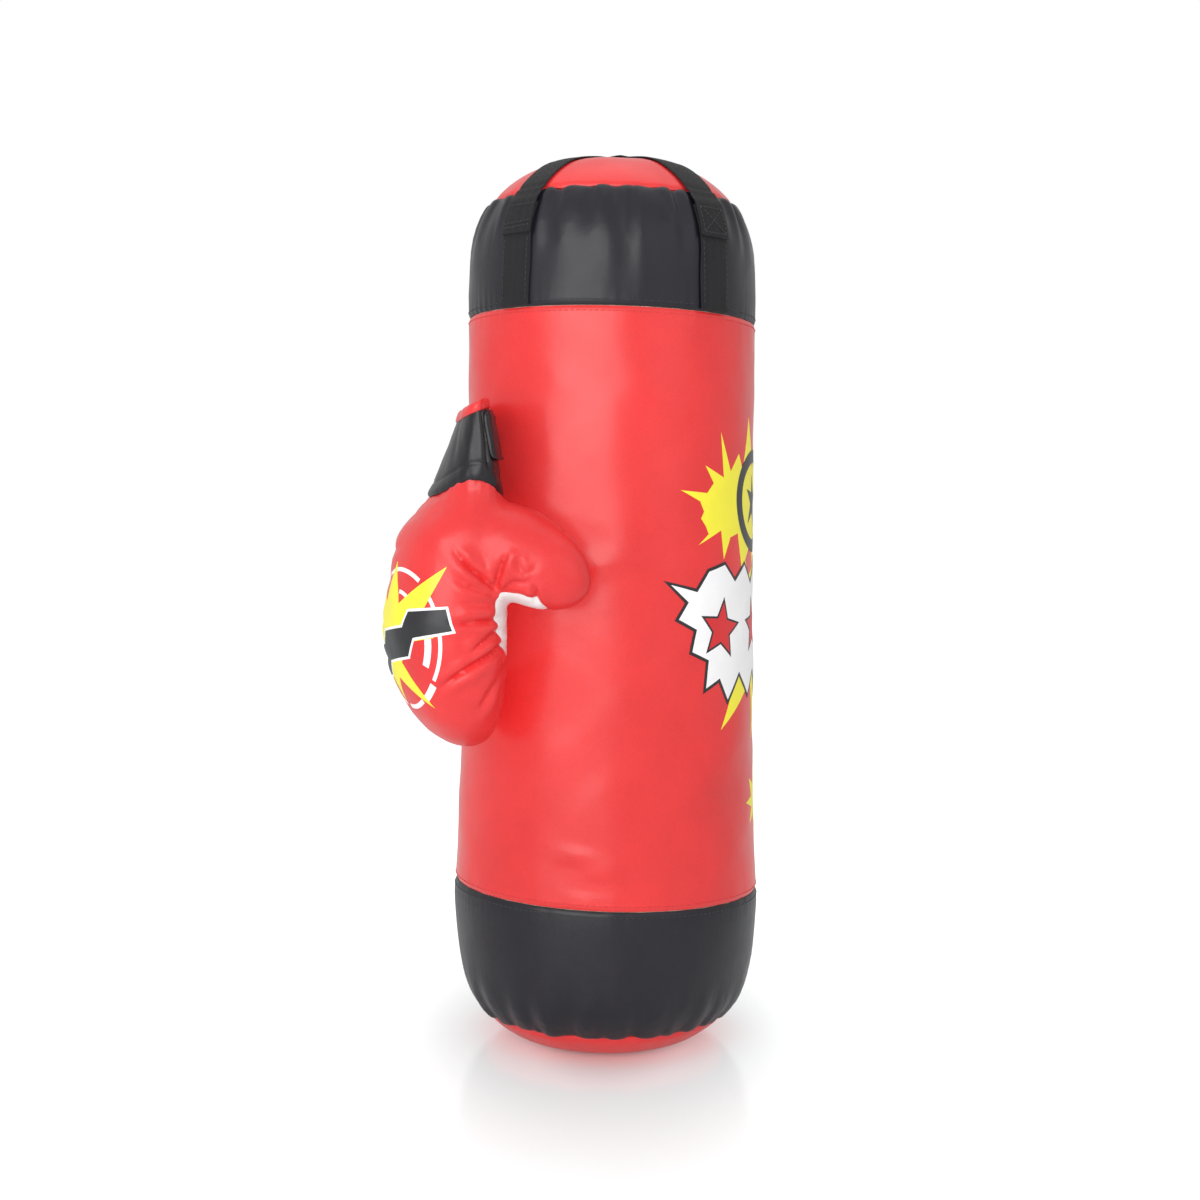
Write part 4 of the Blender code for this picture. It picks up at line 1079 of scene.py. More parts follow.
# --------------------------------------------------------------------- the glove's form
# Glove axes: +z up to the cuff, +x the palm side, -y the thumb side.
GLOVE_PLACE = np.array([-0.0947, -0.0850, 0.2522])
GLOVE_TURN = turn_z(deg(22.0))
FIST_MID = 0.0109                           # height of the fist's widest ring
FIST_DROP, FIST_RISE = 0.0738, 0.0748       # from there down to the end, up to the wrist
CUFF_BASE, CUFF_TOP = 0.0860, 0.1340
CUFF_TALL = CUFF_TOP - CUFF_BASE
GLOVE_LOW, GLOVE_HIGH = np.array((-0.047, -0.088, -0.071)), np.array((0.096, 0.056, 0.104))


def g_world(points):
    return np.asarray(points) @ GLOVE_TURN.T + GLOVE_PLACE


def g_local(points):
    return (np.asarray(points) - GLOVE_PLACE) @ GLOVE_TURN


def slope(field, points, step):
    return np.stack([(field(points + shift) - field(points - shift)) / (2 * step)
                     for shift in np.eye(3) * step], -1)


def fist_g(points):
    x, y, z = points[..., 0], points[..., 1], points[..., 2]
    low = np.clip((FIST_MID - z) / FIST_DROP, 0, None)
    high = np.clip((z - FIST_MID) / FIST_RISE, 0, 1.0)
    wrist = smoothstep(high, 0.60, 1.0)
    offset = np.where(z < FIST_MID, 0.014 * np.minimum(low, 1.3) ** 2,
                      0.0072 * high + 0.0048 * wrist)
    thick = 0.0335 - 0.0055 * high - 0.0105 * wrist
    wide = 0.046 - 0.006 * high ** 2 - 0.0045 * wrist
    power = 2.2
    return (np.abs((x - offset) / thick) ** power + np.abs(y / wide) ** power
            + low ** power) ** (1 / power) - 1


def fist_d(points):
    """Distance to the fist, negative inside."""
    steep = np.linalg.norm(slope(fist_g, points, 2e-4), axis=-1)
    return fist_g(points) / np.maximum(steep, 8.0)


def frame_of(axis, hint):
    first = unit(np.array(axis, float))
    second = unit(np.cross(hint, first))
    return np.stack([first, second, np.cross(first, second)])


def ellipsoid_d(points, centre, axes, semis):
    local = (points - centre) @ axes.T
    semis = np.asarray(semis)
    near = np.sqrt(((local / semis) ** 2).sum(-1))
    steep = np.sqrt(((local / semis ** 2) ** 2).sum(-1))
    return near * (near - 1) / np.maximum(steep, 1e-6)


def smooth_min(first, second, width):
    blend = np.maximum(width - np.abs(first - second), 0) / width
    return np.minimum(first, second) - blend * blend * width / 4


VIEW_DIR = unit(g_local(CAM_POS) - np.array([0.02, 0, 0.04]))   # from the glove to the camera
TIP_CENTRE = g_local(np.array([-0.0392, -0.1054, 0.2975]))
TIP_AXES = frame_of(np.array([0.75, -0.30, -0.59]) @ GLOVE_TURN, VIEW_DIR)
ROOT_CENTRE = np.array([0.0265, -0.0300, 0.0540])
ROOT_AXES = frame_of((0.42, -0.16, 0.89), VIEW_DIR)
NECK_CENTRE = ROOT_CENTRE * 0.60 + TIP_CENTRE * 0.40 + np.array([-0.003, 0.0, -0.0030])


def thumb_d(points):
    tip = ellipsoid_d(points, TIP_CENTRE, TIP_AXES, (0.0335, 0.0222, 0.0200))
    root = ellipsoid_d(points, ROOT_CENTRE, ROOT_AXES, (0.0225, 0.0205, 0.0200))
    neck = ellipsoid_d(points, NECK_CENTRE, TIP_AXES, (0.0330, 0.0205, 0.0195))
    return smooth_min(smooth_min(tip, root, 0.014), neck, 0.010)


def glove_d(points):
    # a shallow valley where the thumb is sewn to the hand
    return smooth_min(fist_d(points), thumb_d(points), 0.0085)


def surface_nets(field, origin, step):
    """Vertices and quads on the zero level of a field sampled on a cubic grid."""
    inside = field < 0
    corners = [(i, j, k) for i in (0, 1) for j in (0, 1) for k in (0, 1)]

    def at(samples, corner):
        return samples[tuple(slice(c, size - 1 + c) for c, size in zip(corner, field.shape))]

    count = sum(at(inside, corner).astype(int) for corner in corners)
    active = (count > 0) & (count < 8)
    ids = -np.ones(active.shape, int)
    ids[active] = np.arange(active.sum())
    total = np.zeros((active.sum(), 3))
    hits = np.zeros(active.sum())
    for corner in corners:
        for axis in range(3):
            if corner[axis]:
                continue
            other = list(corner)
            other[axis] = 1
            near, far = at(field, corner)[active], at(field, other)[active]
            hit = (near < 0) != (far < 0)
            spot = np.zeros((len(near), 3)) + np.array(corner, float)
            spot[:, axis] = np.where(hit, near / np.where(hit, near - far, 1), 0)
            total += spot * hit[:, None]
            hits += hit
    verts = origin + (np.argwhere(active) + total / hits[:, None]) * step
    faces = []
    for axis in range(3):
        second, third = (axis + 1) % 3, (axis + 2) % 3
        near, far = [slice(1, -1)] * 3, [slice(1, -1)] * 3
        near[axis], far[axis] = slice(0, -1), slice(1, None)
        near, far = inside[tuple(near)], inside[tuple(far)]
        for flip, crossing in ((False, near & ~far), (True, ~near & far)):
            base = np.argwhere(crossing)
            if not len(base):
                continue
            base = base + 1
            base[:, axis] -= 1
            quad = []
            for i, j in ((-1, -1), (0, -1), (0, 0), (-1, 0)):
                cell = base.copy()
                cell[:, second] += i
                cell[:, third] += j
                quad.append(ids[cell[:, 0], cell[:, 1], cell[:, 2]])
            quad = np.stack(quad, 1)
            faces.append(quad[:, ::-1] if flip else quad)
    return verts, np.concatenate(faces)


def mesh_glove(step, relax):
    counts = np.ceil((GLOVE_HIGH - GLOVE_LOW) / step).astype(int) + 1
    axes = [GLOVE_LOW[i] + np.arange(counts[i]) * step for i in range(3)]
    samples = np.stack(np.meshgrid(*axes, indexing="ij"), -1)
    points, quads = surface_nets(glove_d(samples), GLOVE_LOW, step)
    # relax along the surface, then settle back on it
    edges = np.concatenate([quads[:, [i, (i + 1) % 4]] for i in range(4)])
    for _ in range(relax):
        total, count = np.zeros_like(points), np.zeros(len(points))
        for near, far in ((0, 1), (1, 0)):
            np.add.at(total, edges[:, near], points[edges[:, far]])
            np.add.at(count, edges[:, near], 1)
        points = 0.4 * points + 0.6 * total / count[:, None]
        for _ in range(2):
            away = safe_unit(slope(glove_d, points, 3e-4), 1e-9)
            points = points - away * glove_d(points)[:, None]
    return points, quads


def poly_sd(points, outline):
    """Signed distance to a closed 2-D outline, negative inside."""
    points = np.asarray(points, float)
    outline = np.asarray(outline, float)
    best = np.full(points.shape[:-1], 1e9)
    inside = np.zeros(points.shape[:-1], bool)
    for start, end in zip(outline, np.roll(outline, -1, 0)):
        edge = end - start
        along = np.clip(((points - start) @ edge) / (edge @ edge), 0, 1)
        gap = np.linalg.norm(points - start - along[..., None] * edge, axis=-1)
        best = np.minimum(best, gap)
        beside = (start[1] > points[..., 1]) != (end[1] > points[..., 1])
        rise = edge[1] if edge[1] else 1e-12
        x = start[0] + (points[..., 1] - start[1]) * edge[0] / rise
        inside ^= beside & (points[..., 0] < x)
    return np.where(inside, -best, best)


def line_d(points, line):
    """Distance to a polyline and the position along it (0..1)."""
    best = np.full(points.shape[:-1], 1e9)
    where = np.zeros(points.shape[:-1])
    length = np.concatenate([[0], np.cumsum(np.linalg.norm(np.diff(line, axis=0), axis=1))])
    for i in range(len(line) - 1):
        start, edge = line[i], line[i + 1] - line[i]
        along = np.clip(((points - start) @ edge) / (edge @ edge), 0, 1)
        gap = np.linalg.norm(points - start - along[..., None] * edge, axis=-1)
        hit = gap < best
        best = np.where(hit, gap, best)
        place = (length[i] + along * (length[i + 1] - length[i])) / length[-1]
        where = np.where(hit, place, where)
    return best, where


def cuff_point(angle, rise):
    """Cuff ring: angle 0 is the palm side, -90 degrees the thumb side; rise 1 is the rim."""
    angle, rise = np.asarray(angle, float), np.asarray(rise, float)
    part = np.clip(rise, -0.4, 1.2)
    thick = 0.0182 + (0.0072 - 0.0182) * np.sign(part) * np.abs(part) ** 0.9
    wide = 0.0362 + (0.032 - 0.0362) * part
    twist = deg(-14) * part
    power = 2.1
    cos, sin = np.cos(angle), np.sin(angle)
    reach = (np.abs(cos) ** power + np.abs(sin) ** power) ** (-1 / power)
    flat_x, flat_y = thick * cos * reach, wide * sin * reach
    x = flat_x * np.cos(twist) - flat_y * np.sin(twist)
    y = flat_x * np.sin(twist) + flat_y * np.cos(twist)
    z = CUFF_BASE + CUFF_TALL * rise + part * (0.50 * x - 0.12 * y)
    return np.stack([x + 0.012 + 0.0042 * part, y, z], -1)


VIEW_ANGLE = math.atan2(VIEW_DIR[1], VIEW_DIR[0])


def cuff_seam_rise(angle):
    """The black cuff is cut so that its seam rises on the side towards the camera."""
    return 0.010 + 0.098 * np.cos(2 * (np.asarray(angle) - VIEW_ANGLE))


def cuff_angle(points):
    return np.arctan2(points[..., 1] / 0.036, (points[..., 0] - 0.012) / 0.018)


def cuff_seam_z(points):
    return CUFF_BASE + CUFF_TALL * cuff_seam_rise(cuff_angle(points))


# edge of the white palm where the camera sees it (chart, mm)
PALM_EDGE = [(-57.0, 4.845), (-46.74, 3.135), (-35.91, 0), (-22.8, -12.54), (-31.35, -34.2),
             (-50.16, -38.76), (-54.15, -29.64), (-58.14, -18.24), (-59.85, -7.98),
             (-59.28, 0)]
PALM_Y, PALM_Z = 0.004, 0.022           # centre of the palm's oval


def palm_w(points):
    """Negative on the white panel: an oval on the palm, carried on under the thumb."""
    seen = poly_sd(to_chart(g_world(points)), PALM_EDGE) * MM
    oval = (np.sqrt(((points[..., 1] - PALM_Y) / 0.030) ** 2
                    + ((points[..., 2] - PALM_Z) / 0.041) ** 2) - 1) * 0.031
    oval = np.where(points[..., 0] > 0.010, oval, 0.05)
    return smooth_min(seen, oval, 0.006)


def glove_sim():
    """Pressure simulation of the stuffed glove: coarse points and their displacement."""
    points, quads = mesh_glove(0.0042, 4)
    # held at the palm's edge, at the cuff and, a little less, where thumb and fist meet
    pin = np.clip(1 - np.abs(palm_w(points)) / 0.0030, 0, 1)
    below = cuff_seam_z(points) - points[:, 2]
    pin = np.maximum(pin, np.clip(1 - (below - 0.001) / 0.003, 0, 1))
    apart = np.abs(fist_d(points) - thumb_d(points))
    pin = np.maximum(pin, np.clip(1 - apart / 0.0030, 0, 1) * 0.9)
    sewn = [([int(i)], float(min(1.0, pin[i] * 1.4))) for i in np.nonzero(pin > 0.05)[0]]
    middle = np.array([0.005, 0.0, 0.02])
    rest = middle + (points - middle) * 1.035
    blown = run_cloth("glove_cut", points, rest, quads, sewn, stretch=22, shear=10, bend=3.0,
                      damping=(10, 6, 1.0), pressure=3.2, frames=20)
    moved = blown - points
    size = np.linalg.norm(moved, axis=1, keepdims=True)
    limit = 0.0026
    return points, moved * (limit * np.tanh(size / limit) / np.maximum(size, 1e-9))


def spread(coarse, moved, fine):
    """Carry the displacement of a coarse mesh over to a fine one."""
    tree = KDTree(len(coarse))
    for i, point in enumerate(coarse):
        tree.insert(point, i)
    tree.balance()
    out = np.zeros_like(fine)
    for i, point in enumerate(fine):
        near = tree.find_n(point, 6)
        weights = np.array([1.0 / (gap * gap + 1e-6) for _, _, gap in near])
        out[i] = (moved[[j for _, j, _ in near]] * weights[:, None]).sum(0) / weights.sum()
    return out


# Creases and ridges: (curve in mm, depth or height in mm, width in mm).
CREASES = [  # on the chart
    ([(-57.57, -10.83), (-68.4, -12.54), (-80.94, -13.68), (-89.49, -13.11)], 1.5, 1.4),
    ([(-58.14, -17.67), (-64.98, -22.8), (-71.82, -29.07), (-76.95, -33.06)], 1.5, 1.4),
    ([(-55.86, -25.65), (-63.27, -31.92), (-74.1, -38.76), (-85.5, -46.74),
      (-96.33, -55.29)], 2.2, 1.5),
    ([(-54.15, -38.19), (-58.14, -46.17), (-64.41, -57.0), (-70.11, -66.12)], 1.6, 1.5),
    ([(-53.58, -45.6), (-56.43, -54.15), (-60.42, -63.84)], 1.0, 1.4),
    ([(-59.85, 6.27), (-67.26, 12.54), (-75.81, 19.38), (-82.08, 26.79), (-85.5, 32.49)],
     1.7, 1.5),
    ([(-60.99, 2.85), (-68.4, 5.7), (-78.66, 9.69), (-86.07, 15.39)], 1.2, 1.5),
    ([(-61.56, -1.14), (-70.68, -2.28), (-80.94, -1.14)], 0.9, 1.5),
    ([(-59.28, 7.98), (-57.57, 15.96), (-54.72, 22.8), (-51.87, 29.07)], 1.7, 1.5),
    ([(-54.72, 5.7), (-49.02, 9.69), (-42.18, 10.26), (-35.34, 14.82)], 1.0, 1.5),
    ([(-47.31, 21.66), (-43.89, 15.39), (-38.76, 16.53), (-35.34, 22.23)], 0.7, 1.4),
    ([(-36.48, -0.57), (-37.05, 4.56), (-38.76, 9.69)], 1.3, 1.35),
]
RIDGES = [  # on the chart
    ([(-63.84, 14.82), (-72.96, 21.66), (-80.94, 30.78)], 0.9, 2.6),
    ([(-64.98, 7.98), (-74.1, 13.11), (-83.22, 21.09)], 0.8, 2.4),
    ([(-55.29, 14.25), (-51.3, 22.8), (-47.88, 29.64)], 0.8, 2.6),
    ([(-58.71, -21.66), (-69.54, -26.22), (-78.66, -27.36)], 0.9, 3.4),
    ([(-55.86, -31.92), (-66.12, -41.04), (-76.38, -50.16)], 1.0, 3.4),
    ([(-57.0, -6.84), (-70.68, -7.41), (-82.65, -5.7)], 0.7, 3.0),
    ([(-57.0, -51.3), (-63.84, -63.84), (-69.54, -72.96)], 0.6, 3.2),
]
BACK_CREASES = [  # back of the hand: glove (y, z)
    ([(30, -20), (18, -12), (4, -10)], 0.9, 1.8),
    ([(34, 6), (20, 10), (8, 8)], 0.9, 1.8),
    ([(32, 60), (18, 50), (-4, 52)], 1.0, 1.9),
    ([(28, 78), (12, 68), (-10, 72)], 0.7, 1.7),
]
SIDE_CREASES = [  # little-finger side: glove (x, z)
    ([(26, 30), (12, 26), (-4, 30)], 1.2, 1.8),
    ([(27, 10), (12, 2), (-8, -2)], 1.3, 1.8),
    ([(26, -12), (14, -26), (-2, -34)], 1.2, 1.8),
    ([(22, 58), (10, 52), (0, 56)], 0.8, 1.8),
]


def valleys(spots, table, dip, bank, bank_width, tail, head):
    """Creases with a raised bank beside them; they fade at both ends (tail, head)."""
    lift = 0.0
    for line, depth, width in table:
        gap, along = line_d(spots, spline(line, 6))
        taper = (1 - smoothstep(along, tail, 1.02)) * smoothstep(along, *head)
        lift = lift + taper * depth * MM * (
            -dip * np.exp(-(gap / width) ** 2)
            + bank * np.exp(-((gap - 3.0 * width) / (bank_width * width)) ** 2))
    return lift


def crease_relief(points, normals):
    """Sum of creases in metres, for points with normals (glove axes)."""
    chart = to_chart(g_world(points))
    facing = smoothstep(normals @ VIEW_DIR, 0.02, 0.32)
    lift = facing * valleys(chart, CREASES, dip=1.25, bank=0.55, bank_width=2.0, tail=0.55,
                            head=(-0.12, 0.08))
    for line, height, width in RIDGES:
        gap, along = line_d(chart, spline(line, 6))
        taper = smoothstep(along, 0, 0.3) * (1 - smoothstep(along, 0.7, 1))
        lift += facing * taper * height * MM * gauss(gap, width)
    for inward, axes, table in ((-normals[:, 0], [1, 2], BACK_CREASES),
                                (normals[:, 1], [0, 2], SIDE_CREASES)):
        lift += smoothstep(inward, 0.15, 0.5) * valleys(
            points[:, axes] / MM, table, dip=1.0, bank=0.4, bank_width=1.9, tail=0.5,
            head=(-0.1, 0.15))
    return lift


def radial_puckers(points, palm):
    """Gathers along the seam of the palm panel and the seam of the cuff."""
    rng = np.random.default_rng(3)
    angle = np.arctan2(points[:, 2] - PALM_Z, points[:, 1] - PALM_Y)
    ripple = sum(np.cos(m * angle + rng.uniform(0, TAU)) for m in (9, 13, 17, 23, 29)) / 2.4
    lift = 0.00042 * ripple * np.exp(-np.abs(palm) / 0.0075)
    angle = cuff_angle(points)
    ripple = sum(np.cos(m * angle + rng.uniform(0, TAU)) for m in (7, 11, 16, 21, 27)) / 2.4
    return lift + 0.00036 * ripple * np.exp(-np.abs(cuff_seam_z(points) - points[:, 2]) / 0.0075)


def triangles(points, quads):
    """Split quads along their shorter diagonal."""
    first = np.linalg.norm(points[quads[:, 0]] - points[quads[:, 2]], axis=1)
    second = np.linalg.norm(points[quads[:, 1]] - points[quads[:, 3]], axis=1)
    pick = (first <= second)[:, None]
    return np.concatenate([np.where(pick, quads[:, [0, 1, 2]], quads[:, [0, 1, 3]]),
                           np.where(pick, quads[:, [0, 2, 3]], quads[:, [1, 2, 3]])])


def cut_along(points, tris, field):
    """Cut triangles cleanly along field = 0.

    Returns points, triangles, each triangle's sign, and which points lie on the cut."""
    value = field(points)
    edges = np.concatenate([tris[:, [0, 1]], tris[:, [1, 2]], tris[:, [2, 0]]])
    edges = np.unique(np.sort(edges, 1), axis=0)
    edges = edges[(value[edges[:, 0]] < 0) != (value[edges[:, 1]] < 0)]
    share = value[edges[:, 0]] / (value[edges[:, 0]] - value[edges[:, 1]])
    # points near the cut are moved on to it, the nearest first
    done = np.zeros(len(points), bool)
    moved = points.copy()
    for i in np.argsort(np.minimum(share, 1 - share)):
        if min(share[i], 1 - share[i]) > 0.22:
            break
        start, end = edges[i]
        vertex = start if share[i] < 0.5 else end
        if not done[vertex]:
            moved[vertex] = points[start] * (1 - share[i]) + points[end] * share[i]
            done[vertex] = True
    points = moved
    value[done] = 0.0
    made, extra = {}, []

    def mid(start, end):
        key = (min(start, end), max(start, end))
        if key not in made:
            start, end = key
            part = value[start] / (value[start] - value[end])
            made[key] = len(points) + len(extra)
            extra.append(points[start] * (1 - part) + points[end] * part)
        return made[key]

    sign = np.sign(value)
    tri_signs = sign[tris]
    whole = (tri_signs >= 0).all(1) | (tri_signs <= 0).all(1)
    parts, part_signs = [], []
    for tri in tris[~whole]:
        signs = [sign[v] for v in tri]
        if 0 in signs:      # cut from the corner on the line to the opposite edge
            k = signs.index(0)
        else:               # cut off the corner that is alone on its side
            k = 0 if signs[1] == signs[2] else (1 if signs[0] == signs[2] else 2)
        tip, left, right = (int(tri[(k + i) % 3]) for i in range(3))
        if 0 in signs:
            middle = mid(left, right)
            parts += [(tip, left, middle), (tip, middle, right)]
            part_signs += [sign[left], sign[right]]
        else:
            near, far = mid(tip, left), mid(tip, right)
            parts += [(tip, near, far), (near, left, right), (near, right, far)]
            part_signs += [sign[tip], sign[left], sign[left]]
    return (np.concatenate([points, np.array(extra).reshape(-1, 3)]),
            np.concatenate([tris[whole], np.array(parts, int).reshape(-1, 3)]),
            np.concatenate([np.where(tri_signs[whole].sum(1) > 0, 1, -1),
                            np.array(part_signs)]),
            np.concatenate([value == 0, np.ones(len(extra), bool)]))


def tri_normals(points, tris):
    face = np.cross(points[tris[:, 1]] - points[tris[:, 0]],
                    points[tris[:, 2]] - points[tris[:, 0]])
    normals = np.zeros_like(points)
    for i in range(3):
        np.add.at(normals, tris[:, i], face)
    return safe_unit(normals, 1e-12)


def shape_glove():
    """The glove's skin: points, triangles, and masks of the palm's and thumb's triangles."""
    coarse, moved = glove_sim()
    points, quads = mesh_glove(0.0015, 3)
    points, tris, side, _ = cut_along(points, triangles(points, quads),
                                      lambda at: at[..., 2] - cuff_seam_z(at))
    points, tris, palm_side, on_palm = cut_along(points, tris[side < 0], palm_w)
    palm = palm_w(points)
    below = cuff_seam_z(points) - points[:, 2]
    lift = crease_relief(points, tri_normals(points, tris)) + radial_puckers(points, palm)
    # panel edges turn in
    edge = np.abs(np.where(on_palm, 0.0, palm))
    lift = lift - 0.0009 * np.exp(-(edge / 0.0011) ** 1.4)
    lift = lift - 0.0007 * np.exp(-(np.abs(below) / 0.0013) ** 1.4)
    rng = np.random.default_rng(8)
    uneven = sum(np.cos(points @ (rng.normal(size=3) * 160) + rng.uniform(0, TAU))
                 for _ in range(14)) / 3.7
    lift += 0.00016 * uneven * smoothstep(np.abs(palm), 0, 0.006)
    centres = points[tris].mean(1)
    is_thumb = thumb_d(centres) < fist_d(centres) - 0.0004
    points = points + spread(coarse, moved, points) * smoothstep(below, -0.002, 0.008)[:, None]
    points = points + tri_normals(points, tris) * lift[:, None]
    # nothing may press into the bag
    world = g_world(points)
    dist = np.hypot(world[:, 0], world[:, 1])
    short = np.clip((skin_radius(world[:, 2]) + 0.0022) - dist, 0, 0.01)
    push = np.stack([world[:, 0] / dist, world[:, 1] / dist, 0 * dist], 1) * short[:, None]
    return g_local(world + push), tris, palm_side < 0, is_thumb


GLOVE_POINTS, GLOVE_TRIS, ON_PALM, ON_THUMB = shape_glove()
GLOVE_NORMALS = tri_normals(GLOVE_POINTS, GLOVE_TRIS)


def glove_piece(name, keep, mat, node, thick=0.0012, lift=0.0):
    """Closed sheet from the kept triangles, its outer face lifted off the skin."""
    used, inverse = np.unique(GLOVE_TRIS[keep], return_inverse=True)
    top = [tuple(tri) for tri in inverse.reshape(-1, 3).tolist()]
    points, normals, count = GLOVE_POINTS[used], GLOVE_NORMALS[used], len(used)
    faces = top + [tuple(v + count for v in tri[::-1]) for tri in top] + edge_walls(top, count)
    verts = np.concatenate([points + normals * lift, points - normals * (thick - lift)])
    make(name, g_world(verts), faces, mat, "glove", node, sharp=60)


glove_piece("glove_red_shell", ~ON_PALM, RED_GLOVE, "glove_outer_shell")
glove_piece("glove_white_palm", ON_PALM, WHITE, "glove_palm_panel")
PADDING, PADDING_LIFT = 0.0042, -0.0014
glove_piece("fist_padding_foam", ~ON_THUMB, FOAM, "glove_fist_padding", PADDING,
            PADDING_LIFT)
glove_piece("thumb_padding_foam", ON_THUMB, FOAM, "glove_thumb_padding", PADDING,
            PADDING_LIFT)


# ------------------------------------------------------------- the cuff and its closure
def cuff_relief(angle, rise):
    """Soft folds, the hem above the seam, and fullness of the black cuff."""
    rng = np.random.default_rng(17)
    soft = 0.0
    for m in (3, 5, 8, 12, 17):
        period = rng.uniform(0.5, 1.6)
        soft = soft + np.cos(m * angle + rng.uniform(0, TAU)) \
            * np.cos(TAU * rise / period + rng.uniform(0, TAU))
    up = rise - cuff_seam_rise(angle)
    lift = 0.00007 * soft
    lift = lift + 0.0004 * np.exp(-((up - 0.060) / 0.070) ** 2)         # rolled hem
    lift = lift - 0.00045 * np.exp(-((up - 0.185) / 0.022) ** 2)        # its stitched line
    lift = lift + 0.0007 * np.sin(np.clip(rise, 0, 1) * math.pi) ** 0.8
    # long fold beside the flap's hinge edge, with a swelling next to it
    away = angle - deg(-76) - 0.10 * (rise - 0.5)
    lift = lift - 0.0022 * gauss(away, 0.050) * smoothstep(rise, 0.16, 0.34) \
        * (1 - smoothstep(rise, 0.93, 1.0))
    lift = lift + 0.0010 * gauss(away + 0.20, 0.12) * smoothstep(rise, 0.1, 0.4)
    # a softer fold and a swelling towards the back of the hand
    away = turn(angle + 0.25 * (rise - 0.5), deg(-150))
    lift = lift - 0.0007 * gauss(away, 0.08) * smoothstep(rise, 0.30, 0.6)
    away = turn(angle - 0.5 * (rise - 0.6), deg(-118))
    lift = lift + 0.0006 * gauss(away, 0.16) * gauss(rise - 0.55, 0.25)
    # gathers at the seam and at the rim
    ripple = sum(np.cos(m * angle + rng.uniform(0, TAU)) for m in (14, 19, 26, 33)) / 2
    lift = lift + 0.00009 * ripple * np.exp(-np.maximum(up, 0) / 0.10)
    ripple = sum(np.cos(m * angle + rng.uniform(0, TAU)) for m in (9, 15, 22)) / 1.7
    return lift + 0.00004 * ripple * np.exp((rise - 1) / 0.10)


def cuff_xyz(angle, rise, lift):
    """World point of the cuff, kept clear of the bag."""
    step = 2e-3
    normal = unit(np.cross(cuff_point(angle + step, rise) - cuff_point(angle - step, rise),
                           cuff_point(angle, rise + step) - cuff_point(angle, rise - step)))
    world = g_world(cuff_point(angle, rise) + normal * np.asarray(lift)[..., None])
    need = skin_radius(world[..., 2]) + 0.0016
    dist = np.hypot(world[..., 0], world[..., 1])
    push = np.maximum(need - dist, 0) / dist
    return world + np.stack([world[..., 0] * push, world[..., 1] * push, 0 * push], -1)


def full_turn(count):
    return np.linspace(-math.pi, math.pi, count, endpoint=False)


def black_cuff():
    columns, rows = ((150, 46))
    angle, along = grid(full_turn(columns), np.linspace(0, 1, rows))
    start = cuff_seam_rise(angle) - 0.012
    rise = start + (0.965 - start) * along
    lip = -0.0010 * np.exp(-(rise - start) / 0.022)
    relief = cuff_relief(angle, rise)
    sheet("glove_black_cuff", cuff_xyz(angle, rise, relief + lip + 0.0002),
          cuff_xyz(angle, rise, relief * 0.5 + lip - 0.0018), BLACK_GLOVE, "glove",
          "glove_cuff")


# section of the binding folded over the rim: (outward, upward)
BINDING = [(0.0006, -0.0046), (0.0013, -0.0040), (0.0015, -0.0020), (0.0015, 0.0002),
           (0.0009, 0.0014), (-0.0004, 0.0019), (-0.0018, 0.0014), (-0.0026, 0.0002),
           (-0.0027, -0.0020), (-0.0024, -0.0042), (-0.0012, -0.0040)]


def cuff_binding():
    angle = full_turn(160)
    rng = np.random.default_rng(4)
    wobble = sum(np.cos(m * angle + rng.uniform(0, TAU)) for m in (3, 5, 8, 13)) * 0.00006
    rings = []
    for out, up in BINDING:
        rise = np.full(len(angle), 0.985 + up / CUFF_TALL)
        rings.append(cuff_xyz(angle, rise, out + wobble + 0.35 * cuff_relief(angle, rise)))
    tube("cuff_red_binding", np.stack(rings, 1), RED_GLOVE, "glove",
         "glove_cuff_binding", sharp=80)


def knit_lining():
    """Knitted lining, seen down the mouth of the cuff."""
    angle, along = grid(full_turn(90), np.linspace(0, 1, 30))
    rise = 0.955 - 1.75 * along
    shrink = 0.0030 + 0.0040 * smoothstep(along, 0.25, 0.6) \
        + 0.0045 * smoothstep(along, 0.85, 1.0) ** 2
    ripple = 0.00022 * np.cos(14 * angle + 5 * along)
    sheet("glove_knit_lining", cuff_xyz(angle, rise, -shrink + ripple),
          cuff_xyz(angle, rise, -shrink - 0.0008 + ripple), LINING, "glove",
          "glove_lining")


def cuff_patch(name, angles, rises, lift, thick, mat, body, node, columns=46, rows=30,
               shape=None, rounding=0.03):
    """A panel lying on the cuff between two ring angles and two heights, corners rounded."""
    across, up = grid(np.sin(np.linspace(-1, 1, columns) * math.pi / 2),
                      np.sin(np.linspace(-1, 1, rows) * math.pi / 2))
    pull = 1 - rounding * (across * up) ** 4
    angle = sum(angles) / 2 + (angles[1] - angles[0]) / 2 * across * pull
    rise = sum(rises) / 2 + (rises[1] - rises[0]) / 2 * up * pull
    edge = np.clip((np.maximum(np.abs(across), np.abs(up)) - 0.90) / 0.10, 0, 1)
    soft = 0.5 * thick * (1 - np.sqrt(np.clip(1 - edge ** 2, 0, 1)))
    base = cuff_relief(angle, rise) * 0.8 + lift + (shape(across, up) if shape else 0.0)
    sheet(name, cuff_xyz(angle, rise, base + thick - soft), cuff_xyz(angle, rise, base + soft),
          mat, body, node, wrap=False, uv=np.stack([across * 0.016, up * 0.013], -1))


